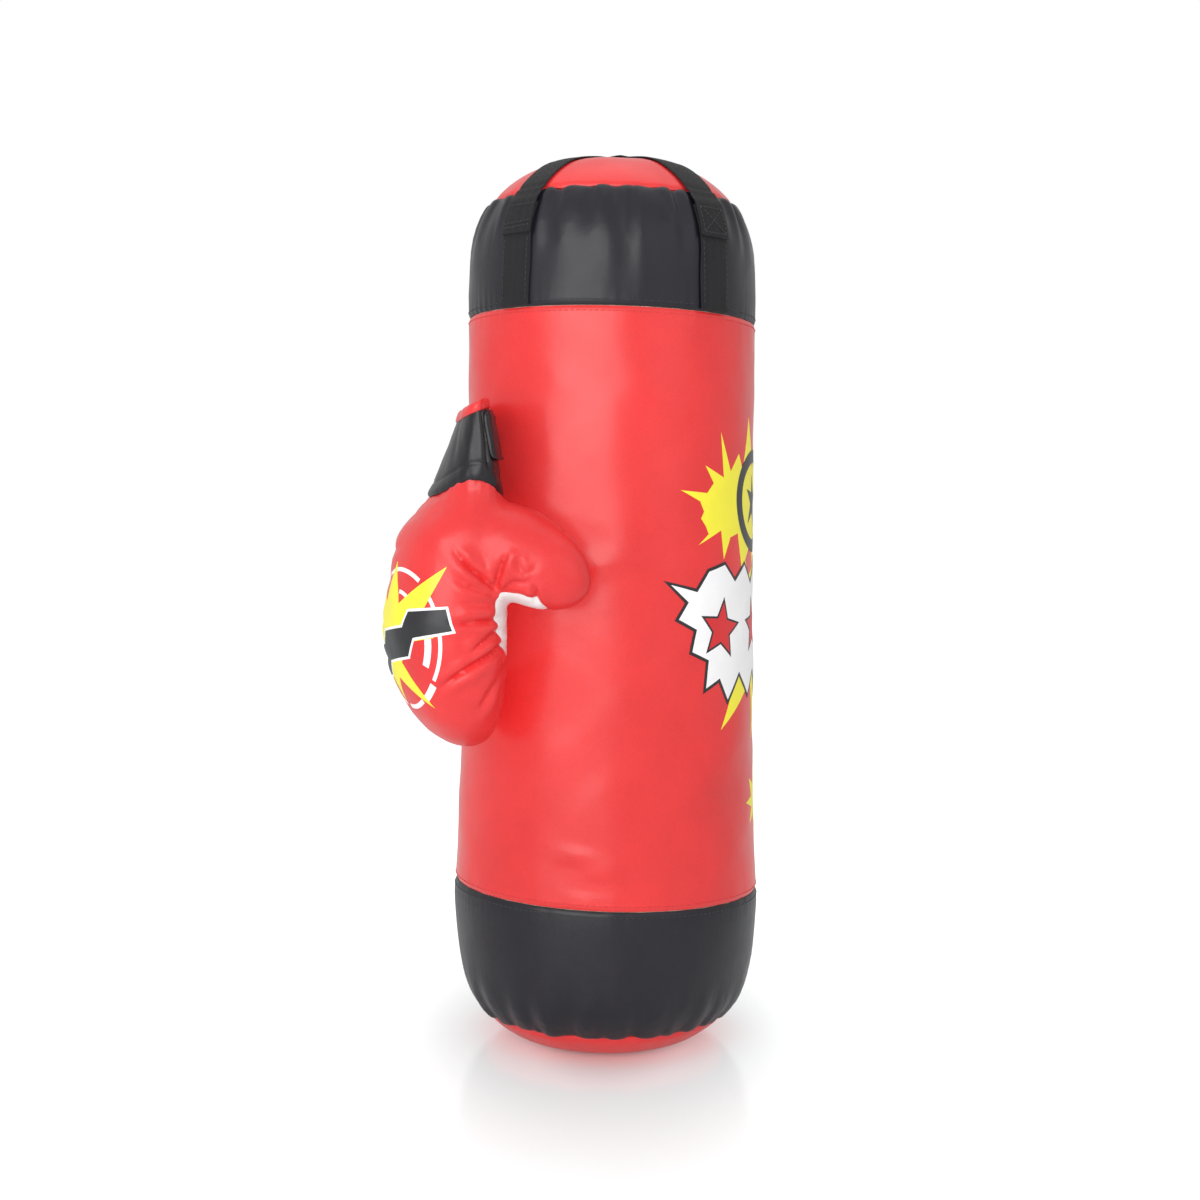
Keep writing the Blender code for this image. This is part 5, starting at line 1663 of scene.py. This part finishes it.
def flap_shape(across, up):
    """The flap's slight waves, its ends bent in or out, and its hem."""
    rest = 0.0004 * np.cos(across * 5 + up * 2) + 0.0003 * np.cos(up * 6 + 1)
    hinge = smoothstep(-across, 0.72, 1.0)
    ends = (-0.0010 * smoothstep(up, 0.74, 1.0) + 0.0004 * smoothstep(-up, 0.80, 1.0)) \
        * (1 - hinge * 0.5)
    edge = np.maximum(np.abs(across), np.abs(up))
    hem = 0.00035 * gauss(edge - 0.94, 0.03) - 0.00030 * gauss(edge - 0.84, 0.025)
    return rest * 0.5 - 0.0010 * hinge + ends + hem


black_cuff()
cuff_binding()
knit_lining()
cuff_patch("cuff_loop_tape", (-deg(58), -deg(9)), (0.37, 0.79), lift=-0.0001, thick=0.0007,
           mat=LINING, body="glove", node="glove_loop_tape")
cuff_patch("cuff_hook_tape", (-deg(56), -deg(10)), (0.38, 0.78), lift=0.0008, thick=0.0005,
           mat=HOOK, body="cuff_flap", node="glove_hook_tape")
cuff_patch("cuff_closing_flap", (-deg(73), -deg(6)), (0.29, 0.87), lift=0.0015, thick=0.0013,
           mat=BLACK_GLOVE, body="cuff_flap", node="glove_cuff_flap",
           columns=60, rows=44, shape=flap_shape, rounding=0.10)

# --------------------------------------------------------------------- the bag's thread
THREAD_RADIUS, WEB_THREAD_RADIUS = 0.00030, 0.00034
SEAM_PITCH = 0.0036


def seam_thread(name, arc, relief, mat):
    """Row of stitches all round the bag."""
    phi = np.linspace(-math.pi, math.pi, 1500)
    starts, ends = row_on(surf(phi, arc, relief(phi, arc) + 0.00006), SEAM_PITCH)
    both = starts + ends
    middle = np.arctan2(both[:, 0], -both[:, 1])
    out, rise = normal_at(arc)
    normals = np.stack([out * np.sin(middle), -out * np.cos(middle), rise + 0 * middle], -1)
    if name == "upper_seam_thread":      # hidden under the webbing there
        bare = strap_mask(middle, ARC_UPPER + 0.002) < 0.05
        starts, ends, normals = starts[bare], ends[bare], normals[bare]
    stitches(name, [(starts, ends, normals)], THREAD_RADIUS, mat)


for name, band, shift in (("upper_seam_thread", upper, 0.0034),
                          ("lower_seam_thread", lower, -0.0034)):
    seam_thread(name, band.body + shift,
                lambda phi, arc: band.relief(phi, band.position(arc)), THREAD)
seam_thread("upper_seam_thread_red", ARC_UPPER - 0.0030, main_relief, THREAD_RED)
seam_thread("lower_seam_thread_red", ARC_LOWER + 0.0030, main_relief, THREAD_RED)

back_arc = np.linspace(ARC_LOWER + 0.004, ARC_UPPER - 0.004, 900)
for i, offset in enumerate((-0.0046, 0.0030)):
    phi = math.pi + offset / radius_at(back_arc)
    path = surf(phi, back_arc, main_relief(phi, back_arc) + 0.00006)
    stitches("back_seam_thread_%d" % (i + 1), [(*row_on(path, SEAM_PITCH), (0, 1.0, 0))],
             THREAD_RADIUS, THREAD_RED)

# along both edges of each strap end
rows = []
for azimuth in STRAP_AZIMUTHS:
    for side in (-0.0088, 0.0088):
        run = np.linspace(ARC_END - (ARC_UPPER + 0.004), ARC_END - (ARC_HANG - 0.002), 60)
        path = strap_surface(azimuth, run, side, STRAP_AIR + WEB_THICK + 0.00004)
        rows.append((*row_on(path, 0.0034), (math.sin(azimuth), -math.cos(azimuth), 0.05)))
stitches("anchor_edge_stitching", rows, WEB_THREAD_RADIUS, THREAD)


# ---------------------------------------------------------------------- printed shapes
PRINT_STEP = 1.5            # millimetres between a print's points
PRINT_SINK = -0.00010
DEG_MM = 1.562              # millimetres of skin to a degree of azimuth


def densify(outline):
    points = []
    outline = np.asarray(outline, float)
    for start, end in zip(outline, np.roll(outline, -1, 0)):
        count = max(1, int(math.ceil(np.linalg.norm(end - start) / PRINT_STEP)))
        for i in range(count):
            points.append(start + (end - start) * i / count)
    return np.array(points)


def grow_outline(outline, margin):
    """Outline moved out by a margin, its sharp corners cut short."""
    outline = np.asarray(outline, float)
    x, y = outline.T
    if np.sum(x * np.roll(y, -1) - np.roll(x, -1) * y) < 0:
        outline = outline[::-1]
    grown = []
    for i, corner in enumerate(outline):
        into = unit(corner - outline[i - 1])
        away = unit(outline[(i + 1) % len(outline)] - corner)
        normal = np.array([into[1], -into[0]])
        middle = safe_unit(normal + np.array([away[1], -away[0]]), 1e-6)
        grown.append(corner + middle * margin / max(middle @ normal, 0.36))
    return np.array(grown)


def ring_outline(centre, inner, outer, start, end):
    """Part of a ring as an outline (angles in degrees, counter-clockwise)."""
    angle = np.radians(np.linspace(start, end, max(6, int(abs(end - start) / 5))))
    return np.concatenate([
        np.stack([centre[0] + radius * np.cos(turned), centre[1] + radius * np.sin(turned)], -1)
        for radius, turned in ((outer, angle), (inner, angle[::-1]))])


def decal(name, outlines, mat, body, place, lift):
    """Thin printed film. Outlines are in millimetres on a chart; place lays it on the skin."""
    verts, faces, base = [], [], 0
    for outline in outlines:
        ring = densify(outline)
        low, high = ring.min(0), ring.max(0)
        x, y = np.meshgrid(np.arange(low[0], high[0], PRINT_STEP),
                           np.arange(low[1], high[1], PRINT_STEP * 0.87))
        x = x + (np.arange(x.shape[0]) % 2)[:, None] * PRINT_STEP / 2
        inner = np.stack([x.ravel(), y.ravel()], -1)
        inner = inner[poly_sd(inner, ring) < -0.42 * PRINT_STEP]
        count = len(ring)
        result = delaunay_2d_cdt([Vector(p) for p in np.concatenate([ring, inner])],
                                 [(i, (i + 1) % count) for i in range(count)],
                                 [list(range(count))], 1, 1e-5)
        points, normals = place(np.array([tuple(p) for p in result[0]]))
        tris = [tuple(tri) for tri in result[2]]
        count = len(points)
        verts += [points + normals * lift, points + normals * PRINT_SINK]
        local = []
        for tri in tris:
            local += [tri, tuple(count + i for i in tri[::-1])]
        local += edge_walls(tris, count)
        faces += [tuple(base + i for i in face) for face in local]
        base += 2 * count
    make(name, np.concatenate(verts), faces, mat, body, sharp=70)


def on_bag(chart):
    """Lay a chart on the bag: azimuth times DEG_MM, and height in millimetres."""
    phi, arc = np.radians(chart[:, 0] / DEG_MM), arc_at_height(chart[:, 1] / 1000)

    def skin(phi, arc):
        return surf(phi, arc, main_relief(phi, arc))
    round_step, up_step = 1e-3, 1e-4
    normal = unit(np.cross(skin(phi + round_step, arc) - skin(phi - round_step, arc),
                           skin(phi, arc + up_step) - skin(phi, arc - up_step)))
    out = np.stack([np.sin(phi), -np.cos(phi), 0 * phi], -1)
    return skin(phi, arc), normal * np.sign((normal * out).sum(1))[:, None]


def azimuths(points):
    return [(azimuth * DEG_MM, z) for azimuth, z in points]


# outlines on the bag: azimuth in degrees, height in millimetres
BURST_UPPER = azimuths([
    (27.5, 340), (40, 339), (43.5, 345), (39, 355), (49.5, 348.5), (47.5, 375), (54, 352.5),
    (60.5, 363.5), (64, 354), (71, 386), (76, 356), (87, 374), (86, 350), (106, 358),
    (93, 339), (112, 330), (93, 325), (101, 304), (86, 314), (82, 292), (74, 311),
    (63.5, 294), (60, 316), (54, 313.5), (49.6, 300.5), (48, 317.5), (35.8, 308.5),
    (41, 315), (39.5, 319.5), (37, 324), (38.5, 328), (36.5, 334)])
BURST_MIDDLE = azimuths([
    (58, 284), (66, 302), (72, 290), (82, 298), (92, 289), (104, 309), (108, 290),
    (128, 316), (126, 286), (146, 292), (134, 268), (146, 240), (122, 236), (127, 196),
    (108, 226), (100, 180), (92, 224), (78, 190), (74, 229), (47.5, 199.5), (62, 240)])
BURST_SMALL = azimuths([
    (67, 152), (74.8, 155), (71.8, 166), (79, 161), (84.8, 175), (88, 162), (97, 167),
    (95, 157), (104, 152), (95, 149), (98, 139), (88, 144), (84, 133), (79, 143.5),
    (72, 139), (75, 148)])
BANNER = azimuths([
    (23.5, 285), (35, 281), (41, 293), (50, 297), (57, 287), (66, 297), (75, 285), (84, 300),
    (93, 286), (102, 297), (110, 285), (121, 292), (126, 277), (121, 264), (130, 253),
    (119, 246), (121, 228), (110, 238), (103, 222), (95, 236), (86, 218), (78, 234),
    (69, 219), (61, 233), (52, 217), (47, 230), (39.5, 224.5), (41, 241), (33, 246),
    (35, 259), (27, 265), (31, 275)])


def five_star(azimuth, z, radius, twist):
    """Five-pointed star on the unrolled bag."""
    centre = np.array([azimuth * DEG_MM, z])
    return [tuple(centre + radius * (1.0 if i % 2 == 0 else 0.46)
                  * np.array([math.sin(twist + i * math.pi / 5),
                              math.cos(twist + i * math.pi / 5)])) for i in range(10)]


BANNER_STARS = [five_star(48, 259, 16.0, 0.12), five_star(77, 260, 15.0, -0.1),
                five_star(105, 259, 15.5, 0.2)]
RING_X, RING_UP = 79 * DEG_MM, 336
BURST_RING = [ring_outline((RING_X, RING_UP), 23.5, 31.5, start, start + 181)
              for start in (0, 180)]
# small star inside the ring, from the ring's centre line
BURST_RING.append([(RING_X + x, z) for x, z in (
    (-4, 352), (3, 340), (14, 345), (5, 334), (9, 320), (-1, 329), (-13, 322), (-6, 334),
    (-15, 343), (-4, 341))])
for name, outlines, mat, lift in (
        ("print_burst_upper", [BURST_UPPER], INK_YELLOW, 0.00010),
        ("print_burst_middle", [BURST_MIDDLE], INK_YELLOW, 0.00012),
        ("print_burst_small", [BURST_SMALL], INK_YELLOW, 0.00010),
        ("print_ring_black", BURST_RING, INK_BLACK, 0.00018),
        ("print_banner_outline", [grow_outline(BANNER, 1.9)], INK_BLACK, 0.00024),
        ("print_banner_white", [BANNER], INK_WHITE, 0.00030),
        ("print_banner_stars_edge", [grow_outline(star, 1.3) for star in BANNER_STARS],
         INK_BLACK, 0.00036),
        ("print_banner_stars", BANNER_STARS, INK_RED, 0.00042)):
    decal(name, outlines, mat, "bag", on_bag, lift)

# the glove's print: a chart round the fist (millimetres from its thumb side) and its height
GLOVE_TREE = BVHTree.FromPolygons(GLOVE_POINTS.tolist(), GLOVE_TRIS.tolist())


def fist_ring(angle, z):
    """Point near the fist's skin, and the point of its axis at the same height."""
    low = np.clip((FIST_MID - z) / FIST_DROP, 0, 0.999)
    high = np.clip((z - FIST_MID) / FIST_RISE, 0, 1)
    size = (1 - low ** 2.2) ** (1 / 2.2)
    offset = np.where(z < FIST_MID, 0.014 * low ** 2, 0.0075 * high + 0.0045 * high ** 6)
    thick = (0.0335 - 0.006 * high - 0.009 * high ** 6) * size
    wide = (0.046 - 0.006 * high ** 2 - 0.004 * high ** 6) * size
    cos, sin = np.cos(angle), np.sin(angle)
    reach = (np.abs(cos) ** 2.2 + np.abs(sin) ** 2.2) ** (-1 / 2.2)
    return (np.stack([offset + thick * cos * reach, wide * sin * reach, z], -1),
            np.stack([offset, 0 * offset, z], -1))


CHART_ANGLE = np.radians(np.linspace(-60, -300, 2400))
chart_ring, _ = fist_ring(CHART_ANGLE, np.full(2400, 0.005))
CHART_X = np.concatenate([[0], np.cumsum(np.linalg.norm(np.diff(chart_ring, axis=0),
                                                        axis=1))]) * 1000
CHART_X -= np.interp(deg(106.3), -CHART_ANGLE, CHART_X)


def on_glove(chart):
    skin, axis = fist_ring(np.interp(chart[:, 0], CHART_X, CHART_ANGLE), chart[:, 1] / 1000)
    inward = unit(axis - skin)
    points, normals = np.zeros_like(skin), np.zeros_like(skin)
    for i in range(len(skin)):
        start = skin[i] - inward[i] * 0.012
        hit, normal, _, _ = GLOVE_TREE.ray_cast(Vector(start), Vector(inward[i]), 0.05)
        if hit is None:
            hit, normal = Vector(skin[i]), Vector(-inward[i])
        points[i], normals[i] = hit, normal
    normals = normals * np.sign(-(normals * inward).sum(1))[:, None]
    normals = unit(0.5 * normals - 0.5 * inward)
    return g_world(points), normals @ GLOVE_TURN.T


STAR = [(52, 44.5), (40, 21), (6.5, 42.5), (19, 16), (10, 3), (28, 0), (37, -12),
        (18.5, -37.5), (46, -21), (53, -35), (60, -20), (80, -40), (68, -12), (95, -9),
        (71, 6), (88, 38), (62, 21)]
RINGS = [ring_outline((45, 0.5), *part) for part in (   # radii, start and end in degrees
    (37.6, 39.6, -76, 8), (38.6, 41.0, 66, 122), (36.6, 43.2, 50, 62), (36.0, 42.6, 27, 41),
    (37.4, 40.0, -118, -84), (29.2, 33.6, -50, -3), (26.5, 28.6, 96, 126),
    (37.6, 39.8, 134, 214), (29.2, 33.4, 150, 206), (37.4, 41.5, 218, 236))]
STRIPE = [(-0.5, 7), (4, 19), (29, 17), (33, 8), (58, 4.5), (61.5, -3.5), (91, -5),
          (83, -13), (88, -25), (60, -20.5), (54, -12), (29, -8), (24, 2.5)]
for name, outlines, mat, lift in (
        ("glove_print_star", [STAR], INK_YELLOW, 0.00015),
        ("glove_print_rings", RINGS, INK_WHITE, 0.00010),
        ("glove_print_band_edge", [grow_outline(STRIPE, 1.5)], INK_WHITE, 0.00020),
        ("glove_print_band", [STRIPE], INK_BLACK, 0.00026)):
    decal(name, outlines, mat, "glove", on_glove, lift)


# ----------------------------------------------------------- hanging ring and its tab
def sweep(name, path, radius, mat, body, node, sides, closed):
    """Round wire along a path."""
    after, before = np.roll(path, -1, 0), np.roll(path, 1, 0)
    if not closed:
        after[-1], before[0] = path[-1], path[0]
    tangent = unit(after - before)
    up = np.array([0.0, 0.0, 1.0])
    normal = up - tangent * (tangent @ up)[:, None]
    normal[np.linalg.norm(normal, axis=1) < 1e-3] = np.array([1.0, 0, 0])
    normal = unit(normal)
    side = np.cross(tangent, normal)
    rings = np.stack([path + radius * (normal * math.cos(TAU * i / sides)
                                       + side * math.sin(TAU * i / sides))
                      for i in range(sides)], 1)
    tube(name, rings, mat, body, node, sharp=60, closed=closed)


RING_Y, RING_Z = 0.0225, 0.5468         # middle of the ring's straight bar
RING_WIRE = 0.0015
RING_TILT = deg(-8)
BAR_HALF, BEND = 0.0100, 0.0020


def d_ring():
    """D-shaped ring lying back from its bar, drawn flat and then tilted."""
    bar = [(x, 0.0) for x in np.linspace(-BAR_HALF, BAR_HALF, 16)]
    bend = [(BAR_HALF + BEND * math.sin(a), BEND - BEND * math.cos(a))
            for a in np.linspace(0.2, 1.5, 6)]
    bow = [((BAR_HALF + BEND) * math.cos(a), 0.0045 + 0.0135 * math.sin(a))
           for a in np.linspace(0, math.pi, 40)]
    flat = np.array(bar + bend + bow + [(-x, y) for x, y in bend[::-1]])
    path = np.stack([flat[:, 0], RING_Y + flat[:, 1] * math.cos(RING_TILT),
                     RING_Z + flat[:, 1] * math.sin(RING_TILT)], -1)
    sweep("hanging_d_ring", path, RING_WIRE, STEEL, "ring", "hanging_ring", sides=16,
          closed=True)


# the tab's middle line (y, z), up to the bar and back from it
TAB_OVER = [(0.0060, 0.54630), (0.0100, 0.54630), (0.0140, 0.54632), (0.0170, 0.54668),
            (0.0195, 0.54775)]
TAB_UNDER = [(0.0196, 0.54545), (0.0172, 0.54552), (0.0140, 0.54562), (0.0100, 0.54564),
             (0.0060, 0.54564)]
TAB_LOOP = 0.00222
TAB_HALF = 0.0095
TAB_THICK_HALF = 0.00031


def ring_tab():
    loop = [(RING_Y + TAB_LOOP * math.cos(a), RING_Z + TAB_LOOP * math.sin(a))
            for a in np.linspace(deg(118), deg(-112), 22)]
    path = np.array(TAB_OVER + loop + TAB_UNDER)
    tangent = unit(np.gradient(path, axis=0))
    normal = np.stack([-tangent[:, 1], tangent[:, 0]], -1)
    length = np.concatenate([[0], np.cumsum(np.linalg.norm(np.diff(path, axis=0), axis=1))])
    step, x = grid(np.arange(len(path)), np.sin(np.linspace(-1, 1, 15) * math.pi / 2) * TAB_HALF)
    thick = TAB_THICK_HALF * np.sqrt(np.clip(1 - (np.abs(x) / TAB_HALF) ** 8, 0.1, 1))

    def face(sign):
        spot = path[step] + normal[step] * (thick * sign)[..., None]
        return np.stack([x, spot[..., 0], spot[..., 1]], -1)
    sheet("ring_webbing_tab", face(1), face(-1), WEB, "bag", "ring_tab",
          wrap=False, uv=np.stack([x, length[step]], -1))


def tab_stitching():
    """A crossed box on the tab."""
    corners = np.array([(-0.0075, 0.0072, 0.54666), (0.0075, 0.0072, 0.54666),
                        (0.0075, 0.0135, 0.54666), (-0.0075, 0.0135, 0.54666)])
    rows = []
    for i, j in ((0, 1), (1, 2), (2, 3), (3, 0), (0, 2), (1, 3)):
        path = np.array([corners[i] + (corners[j] - corners[i]) * along
                         for along in np.linspace(0, 1, 12)])
        rows.append((*row_on(path, 0.0024), (0, 0, 1.0)))
    stitches("tab_stitching", rows, WEB_THREAD_RADIUS, THREAD)


d_ring()
ring_tab()
tab_stitching()

# ------------------------------------------------------------------------------ the zip
ZIP_SEAM_ANGLE = deg(30.2)
ZIP_SEAM_HALF = 0.0044
COIL_OFFSET = 0.00062           # each coil's middle from the zip's, and its half width


def dome(phi, radius, lift):
    return surf(phi, dome_arc(radius), lift)


def zip_tape(name, inner, outer, node):
    phi, radius = grid(math.pi + np.linspace(-deg(30), deg(30), 90),
                       np.linspace(inner, outer, 12))
    wave = 0.00012 * np.cos(phi * 60) * np.abs(radius - ZIP_RADIUS) / 0.01
    sheet(name, dome(phi, radius, -0.0019 + wave), dome(phi, radius, -0.0026 + wave), TAPE,
          "bag", node, wrap=False)


def zip_coil(name, radius, node, lag):
    turns = 46
    along = np.linspace(0, 1, turns * 12 + 1)
    angle = TAU * turns * along + lag
    path = dome(math.pi + deg(26) * (2 * along - 1), radius + COIL_OFFSET * np.cos(angle),
                -0.0006 + 0.00042 * np.sin(angle))
    sweep(name, path, 0.00025, COIL, "bag", node, sides=6, closed=False)


def zip_row(phi, radius):
    phi, arc = np.broadcast_arrays(phi, dome_arc(radius))
    lift = top_disc(phi, (arc - ARC_TOP) / (upper.pin - ARC_TOP))[1]
    return (*row_on(surf(phi, arc, lift + 0.00005), 0.0026), (0, 0.45, 0.9))


zip_tape("zip_cloth_inner", 0.0540, 0.0637, "zip_tape_inner")
zip_tape("zip_cloth_outer", 0.0642, 0.0725, "zip_tape_outer")
zip_coil("zip_teeth_inner", ZIP_RADIUS - COIL_OFFSET, "zip_coil_inner", 0.0)
zip_coil("zip_teeth_outer", ZIP_RADIUS + COIL_OFFSET, "zip_coil_outer", math.pi)
seam_radii = (ZIP_RADIUS - ZIP_SEAM_HALF, ZIP_RADIUS + ZIP_SEAM_HALF)
rows = [zip_row(math.pi + np.linspace(-ZIP_SEAM_ANGLE, ZIP_SEAM_ANGLE, 200), radius)
        for radius in seam_radii]
rows += [zip_row(math.pi + end * ZIP_SEAM_ANGLE, np.linspace(*seam_radii, 30))
         for end in (-1, 1)]
stitches("zip_stitching", rows, THREAD_RADIUS, THREAD_RED)
for node in ("zip_slider", "zip_pull_tab"):
    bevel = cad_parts[node].modifiers.new("soft_edges", "BEVEL")
    bevel.width = 0.00012
    bevel.segments = 2
    bevel.limit_method = "ANGLE"

# ---------------------------------------------- materials of frame nodes that still show
NODE_MATERIALS = {
    "foam_liner": FOAM, "textile_filling": TEXTILE, "glove_fist_padding": FOAM,
    "glove_thumb_padding": FOAM, "glove_lining": LINING, "ring_tab": WEB,
    "hanging_ring": STEEL, "zip_tape_inner": TAPE, "zip_tape_outer": TAPE,
    "zip_coil_inner": COIL, "zip_coil_outer": COIL, "zip_stop_left": STEEL,
    "zip_stop_right": STEEL, "zip_slider": STEEL, "zip_pull_tab": STEEL,
    "glove_outer_shell": RED_GLOVE, "glove_palm_panel": WHITE, "glove_cuff": BLACK_GLOVE,
    "glove_cuff_binding": RED_GLOVE, "glove_loop_tape": LINING, "glove_hook_tape": HOOK,
    "glove_cuff_flap": BLACK_GLOVE,
}
for node, mat in NODE_MATERIALS.items():
    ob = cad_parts[node]
    if ob.hide_render:
        continue
    ob.data.materials.clear()
    ob.data.materials.append(mat)
    for poly in ob.data.polygons:
        poly.material_index = 0

# ----------------------------------------------------------------- floor, light, camera
SCENE.view_settings.view_transform = "Standard"
SCENE.view_settings.look = "None"
SCENE.view_settings.exposure = 0.0


def floor_material():
    """Glossy floor that glows to the camera, more so away from the bag: the weaker emission near
    the bag is painted shade round its base, and where it fades to nothing close under the bag it
    is a painted contact shadow.
    """
    mat = Material("studio_floor_gloss_painted_shade")
    gloss = mat.ramp(mat.noise(mat.coords(), scale=3.0, detail=2.0), (0.3, 0.13), (0.7, 0.16))
    seen = mat.add("LightPath", {}, out="Is Camera Ray")
    # distance from the bag, counted in an oval
    stretched = mat.add("VectorMath", {0: mat.coords(), 1: (2.3, 0.9, 1.0)},
                        operation="MULTIPLY")
    far = mat.add("VectorMath", {0: stretched}, out="Value", operation="LENGTH")

    def ease(start, end, low, high):
        return mat.add("MapRange", {"Value": far, "From Min": start, "From Max": end,
                                    "To Min": low, "To Max": high},
                       interpolation_type="SMOOTHSTEP")
    # emission seen by the camera only: painted shade, weaker towards the bag and nil close under
    # it as a painted contact shadow
    glow_with_painted_shade = mat.math("MULTIPLY", ease(start=0.10, end=0.46, low=0.165, high=0.60),
                    ease(start=0.045, end=0.125, low=0.0, high=1.0))
    return mat.finish(Base_Color=(0.905, 0.932, 0.936), Specular_IOR_Level=0.55,
                      Roughness=gloss, Emission_Color=(1.0, 1.0, 1.0),
                      Emission_Strength=mat.math("MULTIPLY", seen, glow_with_painted_shade))


FLOOR_HALF = 14
floor_mesh = bpy.data.meshes.new("studio_floor")
floor_mesh.from_pydata([(x * FLOOR_HALF, y * FLOOR_HALF, 0)
                        for x, y in ((-1, -1), (1, -1), (1, 1), (-1, 1))], [], [(0, 1, 2, 3)])
floor = bpy.data.objects.new("studio_floor", floor_mesh)
SCENE.collection.objects.link(floor)
floor.location.z = -0.0002
floor_mesh.materials.append(floor_material())

# white world, dimmer as a light than as the camera sees it
world = bpy.data.worlds.new("studio")
SCENE.world = world
world.use_nodes = True
tree = world.node_tree
background = tree.nodes["Background"]
background.inputs[0].default_value = (1.0, 1.0, 1.0, 1.0)
light_path = tree.nodes.new("ShaderNodeLightPath")
strength = tree.nodes.new("ShaderNodeMapRange")
strength.inputs["To Min"].default_value = 0.66
strength.inputs["To Max"].default_value = 1.0
tree.links.new(light_path.outputs["Is Camera Ray"], strength.inputs["Value"])
tree.links.new(strength.outputs[0], background.inputs[1])


def area(name, place, target, width, height, power, shadow=True):
    light = bpy.data.lights.new(name, "AREA")
    light.shape = "RECTANGLE"
    light.size, light.size_y, light.energy = width, height, power
    light.use_shadow = shadow
    ob = bpy.data.objects.new(name, light)
    SCENE.collection.objects.link(ob)
    ob.location = place
    ob.rotation_euler = (Vector(target) - Vector(place)).to_track_quat("-Z", "Y").to_euler()


area("key_softbox", place=(-0.62, -1.95, 1.00), target=(0, 0, 0.42), width=2.3, height=1.5,
     power=5.5)
area("front_fill", place=(-0.80, -1.90, 0.82), target=(0, 0, 0.36), width=2.0, height=1.25,
     power=22.0, shadow=False)
area("right_fill", place=(1.55, -1.55, 1.10), target=(0, 0, 0.30), width=1.5, height=1.8,
     power=4.0)
area("top_soft", place=(0.1, 0.1, 2.2), target=(0, 0, 0.3), width=1.6, height=1.6, power=4.0)

camera_data = bpy.data.cameras.new("camera")
camera_data.sensor_width = 36.0
camera_data.lens = 49.587
camera = bpy.data.objects.new("camera", camera_data)
SCENE.collection.objects.link(camera)
axes = np.column_stack([CAM_RIGHT, CAM_UP, -CAM_FORWARD, CAM_POS])
camera.matrix_world = Matrix(axes.tolist() + [[0, 0, 0, 1]])
SCENE.camera = camera
